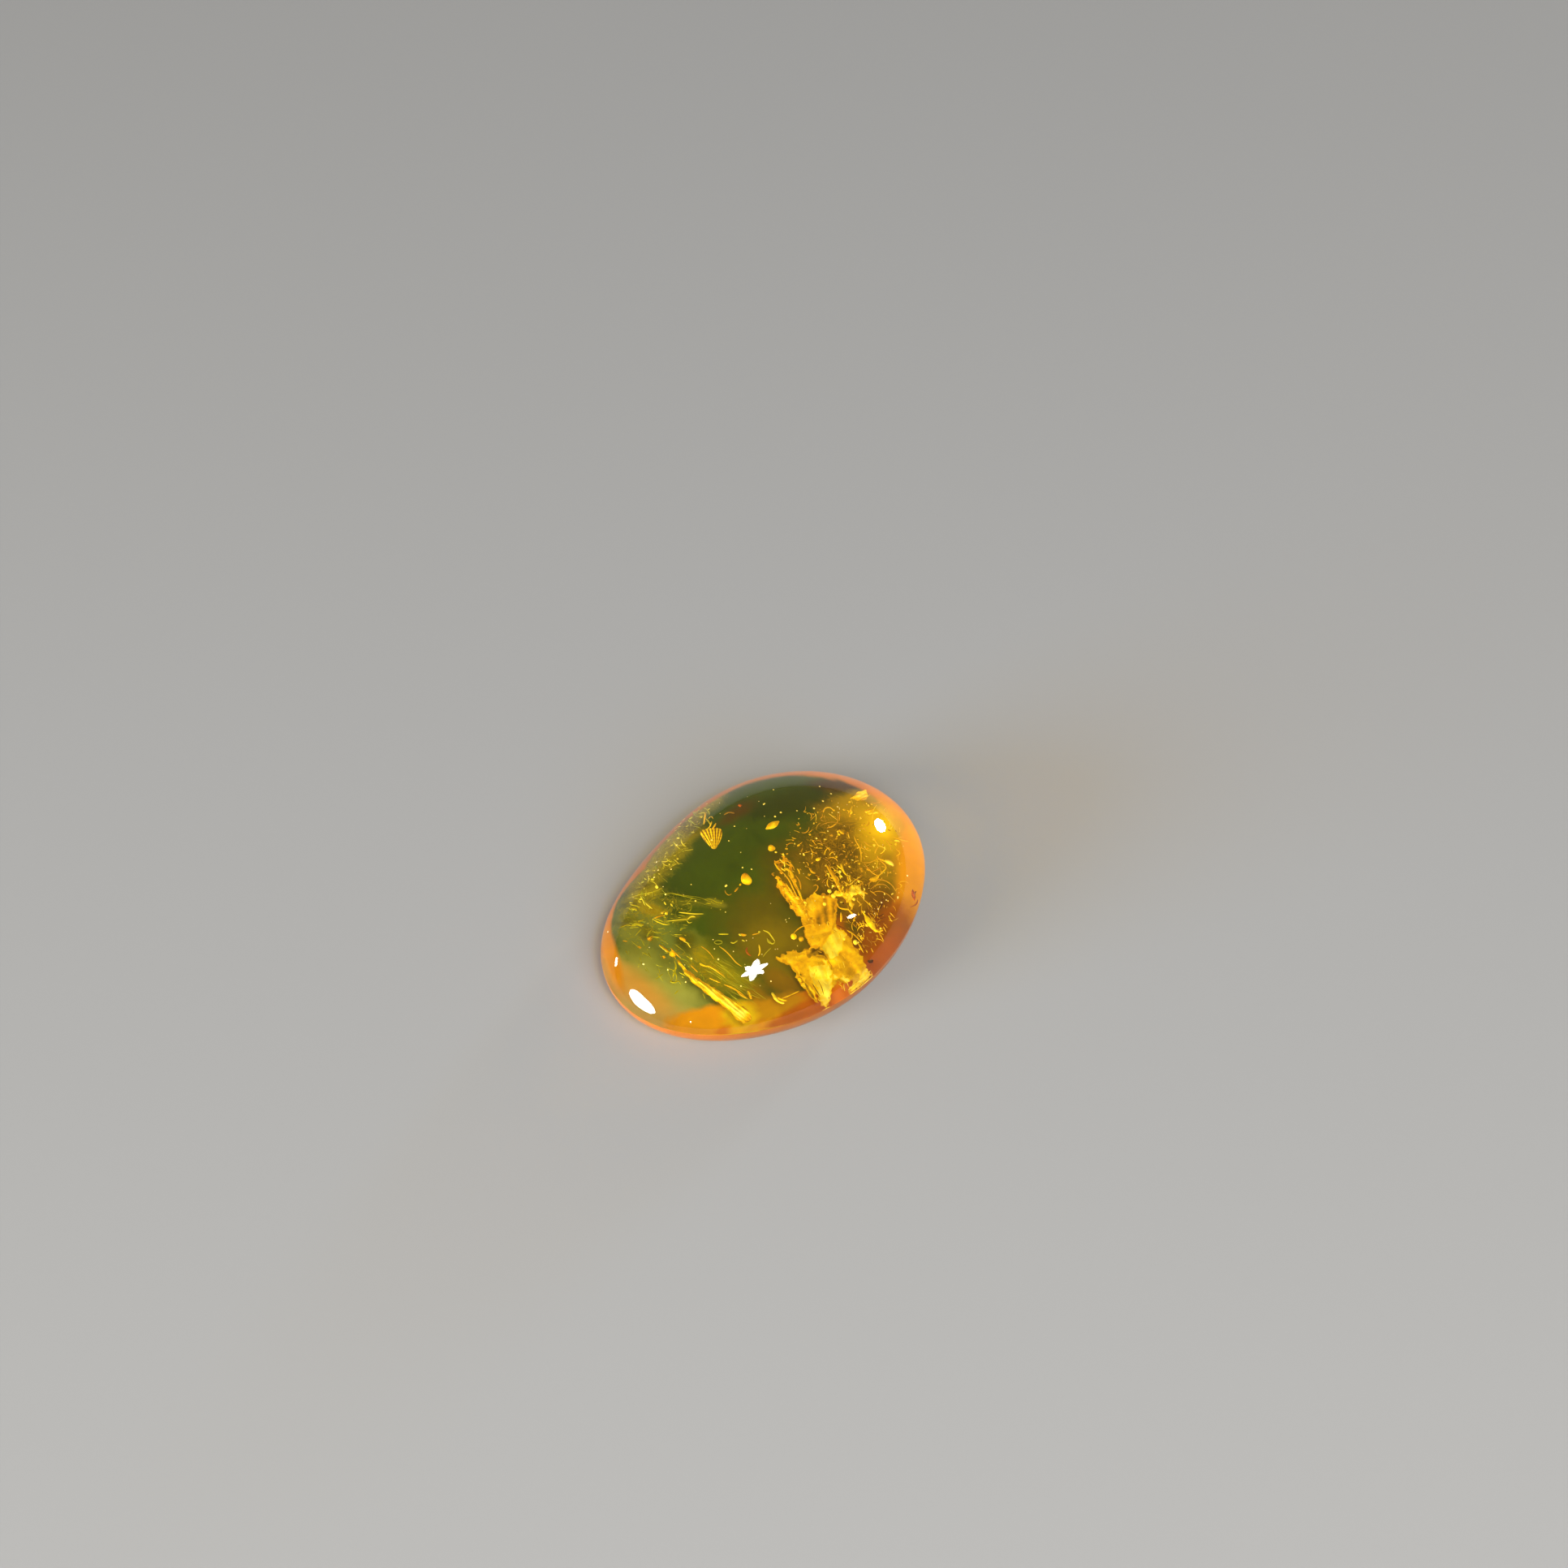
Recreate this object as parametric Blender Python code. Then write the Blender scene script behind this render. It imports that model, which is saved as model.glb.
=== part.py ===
"""A polished amber cabochon with small things sealed in it.

One oval stone, flat underneath and domed on top, is parted level with its girdle into a lower and an
upper half, so that each sealed inclusion lies in a pocket that opens on the parting. Metres, +Z up. The
origin is the middle of the flat underside, and +X runs along the stone's long axis.
"""

import math

import bmesh
import bpy
from mathutils import Matrix, Vector

MM = 0.001

# The stone
HALF_LENGTH = 13.9 * MM
HALF_WIDTH = 10.14 * MM
HEIGHT = 8.5 * MM
GIRDLE_HEIGHT = 2.4 * MM  # where the stone is widest
BASE_SHARE = 0.80  # the flat underside's width as a share of the girdle's
# The oval is hand cut: each wave is (waves round the outline, cosine share, sine share).
OUTLINE_WAVES = ((1, 0.0094, 0.0), (3, -0.0085, 0.0186), (4, -0.0025, -0.0095))
DOME_FULLNESS = 2.2  # powers of the dome's curve: 2 and 2 would be an ellipse
DOME_CROWN = 1.35

# The parting
JOINT_GAP = 0.3 * MM
POCKET_GAP = 0.3 * MM
SEAL_HEIGHT = GIRDLE_HEIGHT + JOINT_GAP / 2  # the level at which every inclusion is sealed in

# How finely the stone is faceted
SECTORS = 96
BEVEL_STEPS = 7
DOME_STEPS = 15

# The inclusions, each (x, y) in the stone's own plan
FRAGMENT_TIP = (0.05, 4.40)
FRAGMENT_TOP = (1.35, 5.65)
FRAGMENT_WIDTH = 1.25 * MM
FRAGMENT_THICKNESS = 0.62 * MM
FRAGMENT_RIBS = 9
DROP_CENTRE = (-0.48, 1.55)
DROP_SIZE = (0.86 * MM, 0.66 * MM, 0.60 * MM)
CHIP_ENDS = ((3.52, 3.11), (4.61, 2.91))
CHIP_WIDTH = 0.50 * MM
CHIP_THICKNESS = 0.26 * MM
BEAD_CENTRE = (2.55, 1.86)
BEAD_SIZE = (0.50 * MM, 0.42 * MM, 0.42 * MM)
SPECK_ENDS = ((5.06, -5.73), (4.25, -6.09))
SPECK_WIDTH = 0.30 * MM
CRUMB_ENDS = ((7.62, -6.96), (7.20, -7.72))
CRUMB_WIDTH = 0.42 * MM
# A slender body with one bent leg: (x, y, radius in mm) along it
SLENDER_ROUTE = (
    (3.19, -5.31, 0.05),
    (3.10, -5.72, 0.07),
    (3.00, -6.05, 0.20),
    (2.93, -6.45, 0.24),
    (2.85, -6.88, 0.17),
    (2.80, -7.22, 0.07),
    (2.99, -7.46, 0.06),
    (3.28, -7.60, 0.05),
)


# ---------------------------------------------------------------- scene and materials


def clear_scene():
    for obj in list(bpy.data.objects):
        bpy.data.objects.remove(obj)


def make_material(name, color, roughness, transmission=0.0):
    material = bpy.data.materials.new(name)
    material.use_nodes = True
    shader = material.node_tree.nodes["Principled BSDF"]
    shader.inputs["Base Color"].default_value = (*color, 1.0)
    shader.inputs["Roughness"].default_value = roughness
    shader.inputs["Metallic"].default_value = 0.0
    shader.inputs["Transmission Weight"].default_value = transmission
    shader.inputs["IOR"].default_value = 1.54
    return material


def make_object(name, mesh, material=None):
    obj = bpy.data.objects.new(name, mesh)
    bpy.context.scene.collection.objects.link(obj)
    if material:
        mesh.materials.append(material)
    return obj


def smooth_all_but_sharp(obj, angle=40):
    obj.data.shade_smooth()
    obj.data.set_sharp_from_angle(angle=math.radians(angle))


# ---------------------------------------------------------------- closed lofts


def loft(name, rings):
    """A closed mesh through rings of equal length, each listed anticlockwise and the first the lowest."""
    mesh = bpy.data.meshes.new(name)
    shape = bmesh.new()
    rows = [[shape.verts.new(point) for point in ring] for ring in rings]
    count = len(rows[0])
    for lower, upper in zip(rows, rows[1:]):
        for k in range(count):
            after = (k + 1) % count
            shape.faces.new((lower[k], lower[after], upper[after], upper[k]))
    shape.faces.new(reversed(rows[0]))
    shape.faces.new(rows[-1])
    bmesh.ops.recalc_face_normals(shape, faces=shape.faces)
    shape.to_mesh(mesh)
    shape.free()
    return mesh


def frame_along(direction):
    """Two directions square to a level direction: one level and one up."""
    up = Vector((0, 0, 1))
    return direction.cross(up).normalized(), up


def tube_mesh(name, path, widths, thicknesses, sides=14, ribs=0, rib_depth=0.0):
    """A closed tube of oval sections along a level path, with ribs running down its length if asked."""
    rings = []
    for i, point in enumerate(path):
        direction = (path[min(i + 1, len(path) - 1)] - path[max(i - 1, 0)]).normalized()
        side, up = frame_along(direction)
        ring = []
        for k in range(sides):
            angle = math.tau * k / sides
            swell = 1 + rib_depth * math.cos(ribs * angle) if ribs else 1
            across = math.cos(angle) * widths[i] / 2 * swell
            high = math.sin(angle) * thicknesses[i] / 2 * swell
            ring.append(point + side * across + up * high)
        rings.append(ring)
    return loft(name, rings)


def level_point(place):
    return Vector((place[0] * MM, place[1] * MM, SEAL_HEIGHT))


# ---------------------------------------------------------------- the stone


def girdle_radius(angle):
    """How far the girdle lies from the pole of the oval, in the direction of an angle from +X."""
    ellipse = HALF_LENGTH * HALF_WIDTH
    ellipse /= math.hypot(HALF_WIDTH * math.cos(angle), HALF_LENGTH * math.sin(angle))
    waves = sum(c * math.cos(n * angle) + s * math.sin(n * angle) for n, c, s in OUTLINE_WAVES)
    return ellipse * (1 + waves)


def girdle_points():
    """The girdle in plan, moved so that its bounding box is centred on the origin."""
    points = []
    for k in range(SECTORS):
        angle = math.tau * k / SECTORS
        points.append(Vector((math.cos(angle), math.sin(angle))) * girdle_radius(angle))
    low = Vector((min(p.x for p in points), min(p.y for p in points)))
    high = Vector((max(p.x for p in points), max(p.y for p in points)))
    pole = -(low + high) / 2
    return pole, [pole + point for point in points]


def stone_ring(share, height):
    """The stone's outline at a height, where it has this share of the girdle's width."""
    pole, girdle = girdle_points()
    return [Vector((*pole.lerp(point, share), height)) for point in girdle]


def dome_share(height):
    rise = (height - GIRDLE_HEIGHT) / (HEIGHT - GIRDLE_HEIGHT)
    sine = rise ** (DOME_CROWN / 2)
    return math.sqrt(max(0.0, 1 - sine * sine)) ** (2 / DOME_FULLNESS)


def make_lower_half(material):
    """The flat underside and the quarter-round bevel up to the girdle."""
    rings = []
    for i in range(BEVEL_STEPS + 1):
        turn = math.pi / 2 * i / BEVEL_STEPS
        share = BASE_SHARE + (1 - BASE_SHARE) * math.sin(turn)
        rings.append(stone_ring(share, GIRDLE_HEIGHT * (1 - math.cos(turn))))
    return make_object("amber_lower", loft("amber_lower", rings), material)


def make_upper_half(material):
    """The dome, from just above the girdle to the crown."""
    bottom = GIRDLE_HEIGHT + JOINT_GAP
    start = math.asin(((bottom - GIRDLE_HEIGHT) / (HEIGHT - GIRDLE_HEIGHT)) ** (DOME_CROWN / 2))
    rings = []
    for i in range(DOME_STEPS + 1):
        turn = start + (math.pi / 2 - start) * i / (DOME_STEPS + 0.25)
        height = GIRDLE_HEIGHT + (HEIGHT - GIRDLE_HEIGHT) * math.sin(turn) ** (2 / DOME_CROWN)
        rings.append(stone_ring(dome_share(height), height))
    mesh = loft("amber_upper", rings)
    return make_object("amber_upper", crowned(mesh), material)


def crowned(mesh):
    """Closes the dome's small top ring with a fan that rises to the full height."""
    shape = bmesh.new()
    shape.from_mesh(mesh)
    top = max(shape.faces, key=lambda face: face.calc_center_median().z)
    fan = bmesh.ops.poke(shape, faces=[top])
    fan["verts"][0].co.z = HEIGHT
    shape.to_mesh(mesh)
    shape.free()
    return mesh


# ---------------------------------------------------------------- the inclusions


def make_ridged_fragment(material):
    """A flattened, ribbed wedge: blunt and wide at the top, drawn in to a point."""
    tip, top = level_point(FRAGMENT_TIP), level_point(FRAGMENT_TOP)
    stations = (0.0, 0.06, 0.16, 0.30, 0.46, 0.62, 0.78, 0.90, 0.97, 1.0)
    path = [tip.lerp(top, s) for s in stations]
    taper = [math.sin(math.pi / 2 * min(1, 0.10 + 1.05 * s)) for s in stations]
    taper[-2:] = [0.86, 0.62]
    widths = [FRAGMENT_WIDTH * t for t in taper]
    thicknesses = [FRAGMENT_THICKNESS * (0.35 + 0.65 * t) for t in taper]
    mesh = tube_mesh("ridged_fragment", path, widths, thicknesses, 54, FRAGMENT_RIBS, 0.10)
    return make_object("ridged_fragment", mesh, material)


def make_lump(name, centre, size, turn_deg, point_out, material):
    """A rounded lump, drawn out at one end by a share of its length."""
    mesh = bpy.data.meshes.new(name)
    shape = bmesh.new()
    bmesh.ops.create_icosphere(shape, subdivisions=3, radius=0.5)
    for vertex in shape.verts:
        vertex.co.y *= 1 - point_out * vertex.co.x
        vertex.co.z *= 1 - point_out * vertex.co.x
        vertex.co += vertex.co.normalized() * 0.03 * math.sin(7 * vertex.co.x + 5 * vertex.co.y)
    shape.transform(Matrix.Diagonal((*size, 1)))
    shape.to_mesh(mesh)
    shape.free()
    obj = make_object(name, mesh, material)
    obj.location = level_point(centre)
    obj.rotation_euler.z = math.radians(turn_deg)
    return obj


def make_sliver(name, ends, width, thickness, fullness, material):
    """A leaf-like piece, pointed at both ends and widest in the middle."""
    stations = (0.0, 0.08, 0.22, 0.40, 0.60, 0.78, 0.92, 1.0)
    path = [level_point(ends[0]).lerp(level_point(ends[1]), s) for s in stations]
    taper = [max(0.12, math.sin(math.pi * s)) ** fullness for s in stations]
    widths = [width * t for t in taper]
    thicknesses = [thickness * t for t in taper]
    return make_object(name, tube_mesh(name, path, widths, thicknesses, 12), material)


def make_slender_body(material):
    """A lance-shaped body on a thin neck, with one leg bent out at its end."""
    path = [level_point(place) for place in SLENDER_ROUTE]
    widths = [2 * place[2] * MM for place in SLENDER_ROUTE]
    return make_object("slender_body", tube_mesh("slender_body", path, widths, widths, 12), material)


# ---------------------------------------------------------------- the pockets


def make_pocket(obj):
    """An oval hollow that clears an inclusion by the pocket's gap on every side."""
    corners = [obj.matrix_world @ Vector(corner) for corner in obj.bound_box]
    points = [obj.matrix_world @ vertex.co for vertex in obj.data.vertices]
    centre = sum(corners, Vector()) / len(corners)
    flat = [Vector((p.x - centre.x, p.y - centre.y)) for p in points]
    far = max(flat, key=lambda p: p.length)
    along = far.normalized()
    across = Vector((-along.y, along.x))
    half = (
        max(abs(p.dot(along)) for p in flat) + POCKET_GAP,
        max(abs(p.dot(across)) for p in flat) + POCKET_GAP,
        max(abs(p.z - centre.z) for p in points) + POCKET_GAP,
    )
    name = "pocket_" + obj.name
    mesh = bpy.data.meshes.new(name)
    shape = bmesh.new()
    bmesh.ops.create_uvsphere(shape, u_segments=20, v_segments=10, radius=1.0)
    shape.transform(Matrix.Diagonal((*half, 1)))
    shape.to_mesh(mesh)
    shape.free()
    pocket = make_object(name, mesh)
    pocket.location = centre
    pocket.rotation_euler.z = math.atan2(along.y, along.x)
    pocket.hide_render = True
    pocket.display_type = "WIRE"
    return pocket


def cut_pockets(half, pockets):
    for pocket in pockets:
        cut = half.modifiers.new(pocket.name, "BOOLEAN")
        cut.operation = "DIFFERENCE"
        cut.object = pocket


def main():
    clear_scene()
    amber = make_material("amber", (0.85, 0.45, 0.04), 0.05, transmission=1.0)
    gold = make_material("golden_flake", (0.90, 0.62, 0.05), 0.35)
    brown = make_material("dark_brown", (0.10, 0.04, 0.015), 0.5)
    rust = make_material("rust_brown", (0.45, 0.12, 0.02), 0.55)

    inclusions = [
        make_ridged_fragment(gold),
        make_lump("golden_drop", DROP_CENTRE, DROP_SIZE, 62, 0.25, gold),
        make_sliver("golden_chip", CHIP_ENDS, CHIP_WIDTH, CHIP_THICKNESS, 0.8, gold),
        make_lump("golden_bead", BEAD_CENTRE, BEAD_SIZE, -30, 0.1, gold),
        make_slender_body(gold),
        make_sliver("dark_speck", SPECK_ENDS, SPECK_WIDTH, SPECK_WIDTH, 0.6, brown),
        make_sliver("red_crumb", CRUMB_ENDS, CRUMB_WIDTH, CRUMB_WIDTH, 0.5, rust),
    ]
    bpy.context.view_layer.update()
    pockets = [make_pocket(inclusion) for inclusion in inclusions]

    halves = [make_lower_half(amber), make_upper_half(amber)]
    for half in halves:
        cut_pockets(half, pockets)
        smooth_all_but_sharp(half)
    for inclusion in inclusions:
        smooth_all_but_sharp(inclusion, angle=60)


main()
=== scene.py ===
"""Looks of the polished amber cabochon: the clear stone and everything that shows inside it."""

import math
import random

import bmesh
import bpy
from mathutils import Matrix, Quaternion, Vector, noise
from mathutils.bvhtree import BVHTree
from mathutils.interpolate import poly_3d_calc


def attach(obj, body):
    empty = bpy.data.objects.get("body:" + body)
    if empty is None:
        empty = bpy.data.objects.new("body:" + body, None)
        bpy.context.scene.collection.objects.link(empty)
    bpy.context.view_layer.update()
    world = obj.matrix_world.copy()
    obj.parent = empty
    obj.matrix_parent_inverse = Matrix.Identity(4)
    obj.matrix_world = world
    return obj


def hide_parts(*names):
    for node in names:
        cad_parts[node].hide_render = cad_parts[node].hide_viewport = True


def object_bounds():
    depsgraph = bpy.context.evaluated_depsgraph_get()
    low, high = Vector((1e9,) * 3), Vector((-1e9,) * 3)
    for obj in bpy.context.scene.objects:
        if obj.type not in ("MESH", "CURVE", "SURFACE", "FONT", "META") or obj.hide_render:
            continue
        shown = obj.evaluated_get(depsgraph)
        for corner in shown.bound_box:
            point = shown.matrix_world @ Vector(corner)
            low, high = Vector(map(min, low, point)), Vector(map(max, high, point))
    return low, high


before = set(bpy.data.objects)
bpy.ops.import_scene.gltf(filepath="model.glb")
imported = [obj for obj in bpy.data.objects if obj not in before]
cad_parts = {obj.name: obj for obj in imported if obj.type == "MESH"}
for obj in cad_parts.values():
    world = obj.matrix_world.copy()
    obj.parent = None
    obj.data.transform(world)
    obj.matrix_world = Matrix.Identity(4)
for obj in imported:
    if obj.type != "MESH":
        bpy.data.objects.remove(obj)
cad_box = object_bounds()

MM = 0.001

# The stone, as in the CAD
HALF_LENGTH = 13.9 * MM
HALF_WIDTH = 10.14 * MM
HEIGHT = cad_box[1].z
GIRDLE_HEIGHT = 2.4 * MM
BASE_SHARE = 0.80
OUTLINE_WAVES = ((1, 0.0094, 0.0), (3, -0.0085, 0.0186), (4, -0.0025, -0.0095))
DOME_FULLNESS = 2.2
DOME_CROWN = 1.35
SECTORS = 240
BEVEL_STEPS = 20
DOME_STEPS = 64
AMBER_IOR = 1.54

# The amber's colour
ABSORPTION_COLOR = (0.97, 0.90, 0.30, 1.0)
ABSORPTION_DENSITY = 300.0
SHADOW_TINT = (0.98, 0.88, 0.55, 1.0)
# The green middle of the back is two ovals that overlap: (centre, half size) of each, in mm
GREEN_MIDDLE = ((0.93, 0.93, 0.0), (10.51, 6.85, 60.0))
GREEN_LEFT = ((-4.3, 2.9, 0.0), (5.5, 4.5, 60.0))
GROUND_INSET = 0.15 * MM
GROUND_TOP = 2.35 * MM

# The camera, at the photograph's angle
FRAME_PIXELS = 1932
LENS_MM = 90.0
SENSOR_MM = 36.0
CAMERA_AZIMUTH = -48.9
CAMERA_ELEVATION = 50.0
CAMERA_DISTANCE = 0.290
AIM = Vector((0.0, 0.153 * MM, 4.0 * MM))
AIM_PIXEL = (943.57, 1097.77)


# ---------------------------------------------------------------- camera


def camera_axes():
    """Towards the camera, to its right and up."""
    azimuth, elevation = math.radians(CAMERA_AZIMUTH), math.radians(CAMERA_ELEVATION)
    level = math.cos(elevation)
    back = Vector((math.sin(azimuth) * level, -math.cos(azimuth) * level, math.sin(elevation)))
    right = Vector((math.cos(azimuth), math.sin(azimuth), 0.0))
    return back, right, back.cross(right)


BACK, RIGHT, UP = camera_axes()
FOCAL_PIXELS = LENS_MM / SENSOR_MM * FRAME_PIXELS
MIDDLE = FRAME_PIXELS / 2
METRES_PER_PIXEL = CAMERA_DISTANCE / FOCAL_PIXELS  # at the aim
EYE = AIM + BACK * CAMERA_DISTANCE
EYE += (RIGHT * (MIDDLE - AIM_PIXEL[0]) + UP * (AIM_PIXEL[1] - MIDDLE)) * METRES_PER_PIXEL


def level_step(across, down):
    """The level step, in the stone's plan, that covers this many pixels of the picture."""
    towards = BACK.xy.normalized() / BACK.z
    return (RIGHT.xy * across + towards * down) * METRES_PER_PIXEL


def make_camera():
    data = bpy.data.cameras.new("camera")
    data.sensor_width = SENSOR_MM
    data.lens = LENS_MM
    data.clip_start = 0.01
    data.clip_end = 20.0
    camera = bpy.data.objects.new("camera", data)
    bpy.context.scene.collection.objects.link(camera)
    camera.location = EYE
    camera.rotation_mode = "QUATERNION"
    camera.rotation_quaternion = BACK.to_track_quat("Z", "Y")
    bpy.context.scene.camera = camera


# ---------------------------------------------------------------- the stone's shape


def girdle_radius(angle):
    ellipse = HALF_LENGTH * HALF_WIDTH
    ellipse /= math.hypot(HALF_WIDTH * math.cos(angle), HALF_LENGTH * math.sin(angle))
    waves = sum(c * math.cos(n * angle) + s * math.sin(n * angle) for n, c, s in OUTLINE_WAVES)
    return ellipse * (1 + waves)


def girdle_outline():
    points = []
    for k in range(SECTORS):
        angle = math.tau * k / SECTORS
        points.append(Vector((math.cos(angle), math.sin(angle))) * girdle_radius(angle))
    low = Vector((min(p.x for p in points), min(p.y for p in points)))
    high = Vector((max(p.x for p in points), max(p.y for p in points)))
    pole = -(low + high) / 2
    return pole, [pole + point for point in points]


POLE, GIRDLE = girdle_outline()


def stone_profile():
    """(share of the girdle's width, height) from the underside's edge up to just below the crown."""
    profile = []
    for i in range(BEVEL_STEPS + 1):
        turn = math.pi / 2 * i / BEVEL_STEPS
        share = BASE_SHARE + (1 - BASE_SHARE) * math.sin(turn)
        profile.append((share, GIRDLE_HEIGHT * (1 - math.cos(turn))))
    for i in range(1, DOME_STEPS):
        turn = math.pi / 2 * i / DOME_STEPS
        rise = math.sin(turn) ** (2 / DOME_CROWN)
        share = math.cos(turn) ** (2 / DOME_FULLNESS)
        profile.append((share, GIRDLE_HEIGHT + (HEIGHT - GIRDLE_HEIGHT) * rise))
    return profile


def build_stone():
    mesh = bpy.data.meshes.new("amber")
    shape = bmesh.new()
    rows = []
    for share, height in stone_profile():
        rows.append([shape.verts.new((*POLE.lerp(point, share), height)) for point in GIRDLE])
    for lower, upper in zip(rows, rows[1:]):
        for k in range(SECTORS):
            after = (k + 1) % SECTORS
            shape.faces.new((lower[k], lower[after], upper[after], upper[k]))
    crown = shape.verts.new((*POLE, HEIGHT))
    foot = shape.verts.new((*POLE, 0.0))
    for k in range(SECTORS):
        after = (k + 1) % SECTORS
        shape.faces.new((rows[-1][k], rows[-1][after], crown))
        shape.faces.new((rows[0][after], rows[0][k], foot))
    shape.to_mesh(mesh)
    shape.free()
    mesh.shade_smooth()
    stone = bpy.data.objects.new("amber", mesh)
    bpy.context.scene.collection.objects.link(stone)
    return stone


# ---------------------------------------------------------------- sight lines into the stone


class Sight:
    """Follows the camera's rays through the polished surface, bent as amber bends them."""

    def __init__(self, stone):
        self.mesh = stone.data
        faces = [polygon.vertices for polygon in self.mesh.polygons]
        self.tree = BVHTree.FromPolygons([v.co for v in self.mesh.vertices], faces)

    def normal(self, face, point):
        ids = self.mesh.polygons[face].vertices
        shares = poly_3d_calc([self.mesh.vertices[i].co for i in ids], point)
        return sum((self.mesh.vertices[i].normal * s for i, s in zip(ids, shares)), Vector()).normalized()

    def enter(self, across, down):
        """Where the ray through a pixel meets the surface, and its direction inside."""
        ray = RIGHT * ((across - MIDDLE) / FOCAL_PIXELS) + UP * ((MIDDLE - down) / FOCAL_PIXELS) - BACK
        ray.normalize()
        point, _, face, _ = self.tree.ray_cast(EYE, ray)
        if point is None:
            return None
        normal = self.normal(face, point)
        facing = -ray.dot(normal)
        bend = 1 / AMBER_IOR
        inner = ray * bend + normal * (bend * facing - math.sqrt(1 - bend**2 * (1 - facing**2)))
        return point, inner.normalized()

    def at_height(self, across, down, height, margin=0.12 * MM):
        """The point seen at a pixel and lying at a height, kept this far inside the surface."""
        entered = self.enter(across, down)
        if entered is None:
            return None
        point, inner = entered
        reach = (height - point.z) / inner.z
        _, _, _, far = self.tree.ray_cast(point + inner * 1e-6, inner)
        return point + inner * min(max(reach, margin), (far or reach) - margin)


# ---------------------------------------------------------------- materials


class Recipe:
    """A Principled material and short names for the nodes that colour it. Its places are in millimetres."""

    def __init__(self, name, roughness, metallic=0.0):
        self.material = bpy.data.materials.new(name)
        self.material.use_nodes = True
        self.tree = self.material.node_tree
        self.shader = self.tree.nodes["Principled BSDF"]
        self.output = self.tree.nodes["Material Output"]
        self.shader.inputs["Roughness"].default_value = roughness
        self.shader.inputs["Metallic"].default_value = metallic
        self.shader.inputs["IOR"].default_value = AMBER_IOR

    def feed(self, socket, value):
        if isinstance(value, bpy.types.NodeSocket):
            self.tree.links.new(value, socket)
        elif isinstance(value, tuple) and len(value) == 3 and socket.type == "RGBA":
            socket.default_value = (*value, 1.0)
        else:
            socket.default_value = value

    def place(self):
        coordinates = self.tree.nodes.new("ShaderNodeTexCoord").outputs["Object"]
        return self.vector("SCALE", coordinates, scale=1 / MM)

    def vector(self, operation, first, second=None, scale=None):
        node = self.tree.nodes.new("ShaderNodeVectorMath")
        node.operation = operation
        self.feed(node.inputs[0], first)
        if second is not None:
            self.feed(node.inputs[1], second)
        if scale is not None:
            self.feed(node.inputs["Scale"], scale)
        return node.outputs["Value" if operation == "LENGTH" else "Vector"]

    def sum(self, first, second, operation="ADD"):
        node = self.tree.nodes.new("ShaderNodeMath")
        node.operation = operation
        self.feed(node.inputs[0], first)
        self.feed(node.inputs[1], second)
        return node.outputs[0]

    def noise(self, place, scale, detail=3.0, roughness=0.55, distortion=0.0):
        node = self.tree.nodes.new("ShaderNodeTexNoise")
        self.feed(node.inputs["Vector"], place)
        self.feed(node.inputs["Scale"], scale)
        self.feed(node.inputs["Detail"], detail)
        self.feed(node.inputs["Roughness"], roughness)
        self.feed(node.inputs["Distortion"], distortion)
        return node.outputs["Fac"]

    def reach(self, place, centre, half):
        """0 at a centre and 1 on the oval with these half sizes, both in millimetres."""
        away = self.vector("SUBTRACT", place, centre)
        return self.vector("LENGTH", self.vector("DIVIDE", away, half))

    def zone(self, place, oval, ragged=0.0, wave=0.5):
        """How far out a place is in an oval on the stone's back: 0 at its middle and 1 on its edge.

        The oval is given as the camera sees it, by the pixels of its middle and of the ends of two half axes.
        """
        middle = sight.at_height(*oval[0], GROUND_INSET) / MM
        a, b = (self.back_step(oval[0], pixel) for pixel in oval[1:])
        turn = math.atan2(2 * (a.x * a.y + b.x * b.y), a.x**2 + b.x**2 - a.y**2 - b.y**2) / 2
        long = Vector((math.cos(turn), math.sin(turn)))
        wide = Vector((-long.y, long.x))
        half = [math.hypot(a.dot(axis), b.dot(axis)) for axis in (long, wide)]
        reach = self.vector("LENGTH", self.turned(place, (middle.x, middle.y, 0.0), turn, (half[0], half[1], 1000.0)))
        if ragged:
            reach = self.sum(reach, self.span(self.noise(place, wave, 4.0, 0.6), 0.25, 0.75, -ragged, ragged))
        return reach

    def turned(self, place, centre, turn, scale=(1.0, 1.0, 1.0)):
        """A place counted from a centre along axes that are turned in plan and measured in these units."""
        node = self.tree.nodes.new("ShaderNodeMapping")
        node.vector_type = "TEXTURE"
        self.feed(node.inputs["Vector"], place)
        node.inputs["Location"].default_value = centre
        node.inputs["Rotation"].default_value = (0.0, 0.0, turn)
        node.inputs["Scale"].default_value = scale
        return node.outputs[0]

    def axes(self, place):
        node = self.tree.nodes.new("ShaderNodeSeparateXYZ")
        self.feed(node.inputs[0], place)
        return node.outputs

    def back_step(self, start, pixel):
        """From one pixel to another along the stone's back, in millimetres. The second may lie off the stone."""
        found = sight.at_height(*pixel, GROUND_INSET)
        if found is None:
            return level_step(pixel[0] - start[0], pixel[1] - start[1]) / MM
        return (found - sight.at_height(*start, GROUND_INSET)).xy / MM

    def span(self, value, low, high, start=0.0, end=1.0):
        node = self.tree.nodes.new("ShaderNodeMapRange")
        node.interpolation_type = "SMOOTHSTEP"
        for name, given in zip(("Value", "From Min", "From Max", "To Min", "To Max"), (value, low, high, start, end)):
            self.feed(node.inputs[name], given)
        return node.outputs["Result"]

    def ramp(self, value, *stops):
        node = self.tree.nodes.new("ShaderNodeValToRGB")
        elements = node.color_ramp.elements
        while len(elements) < len(stops):
            elements.new(0.5)
        for element, (position, color) in zip(elements, stops):
            element.position = position
            element.color = (*color, 1.0)
        self.feed(node.inputs["Fac"], value)
        return node.outputs["Color"]

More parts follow.
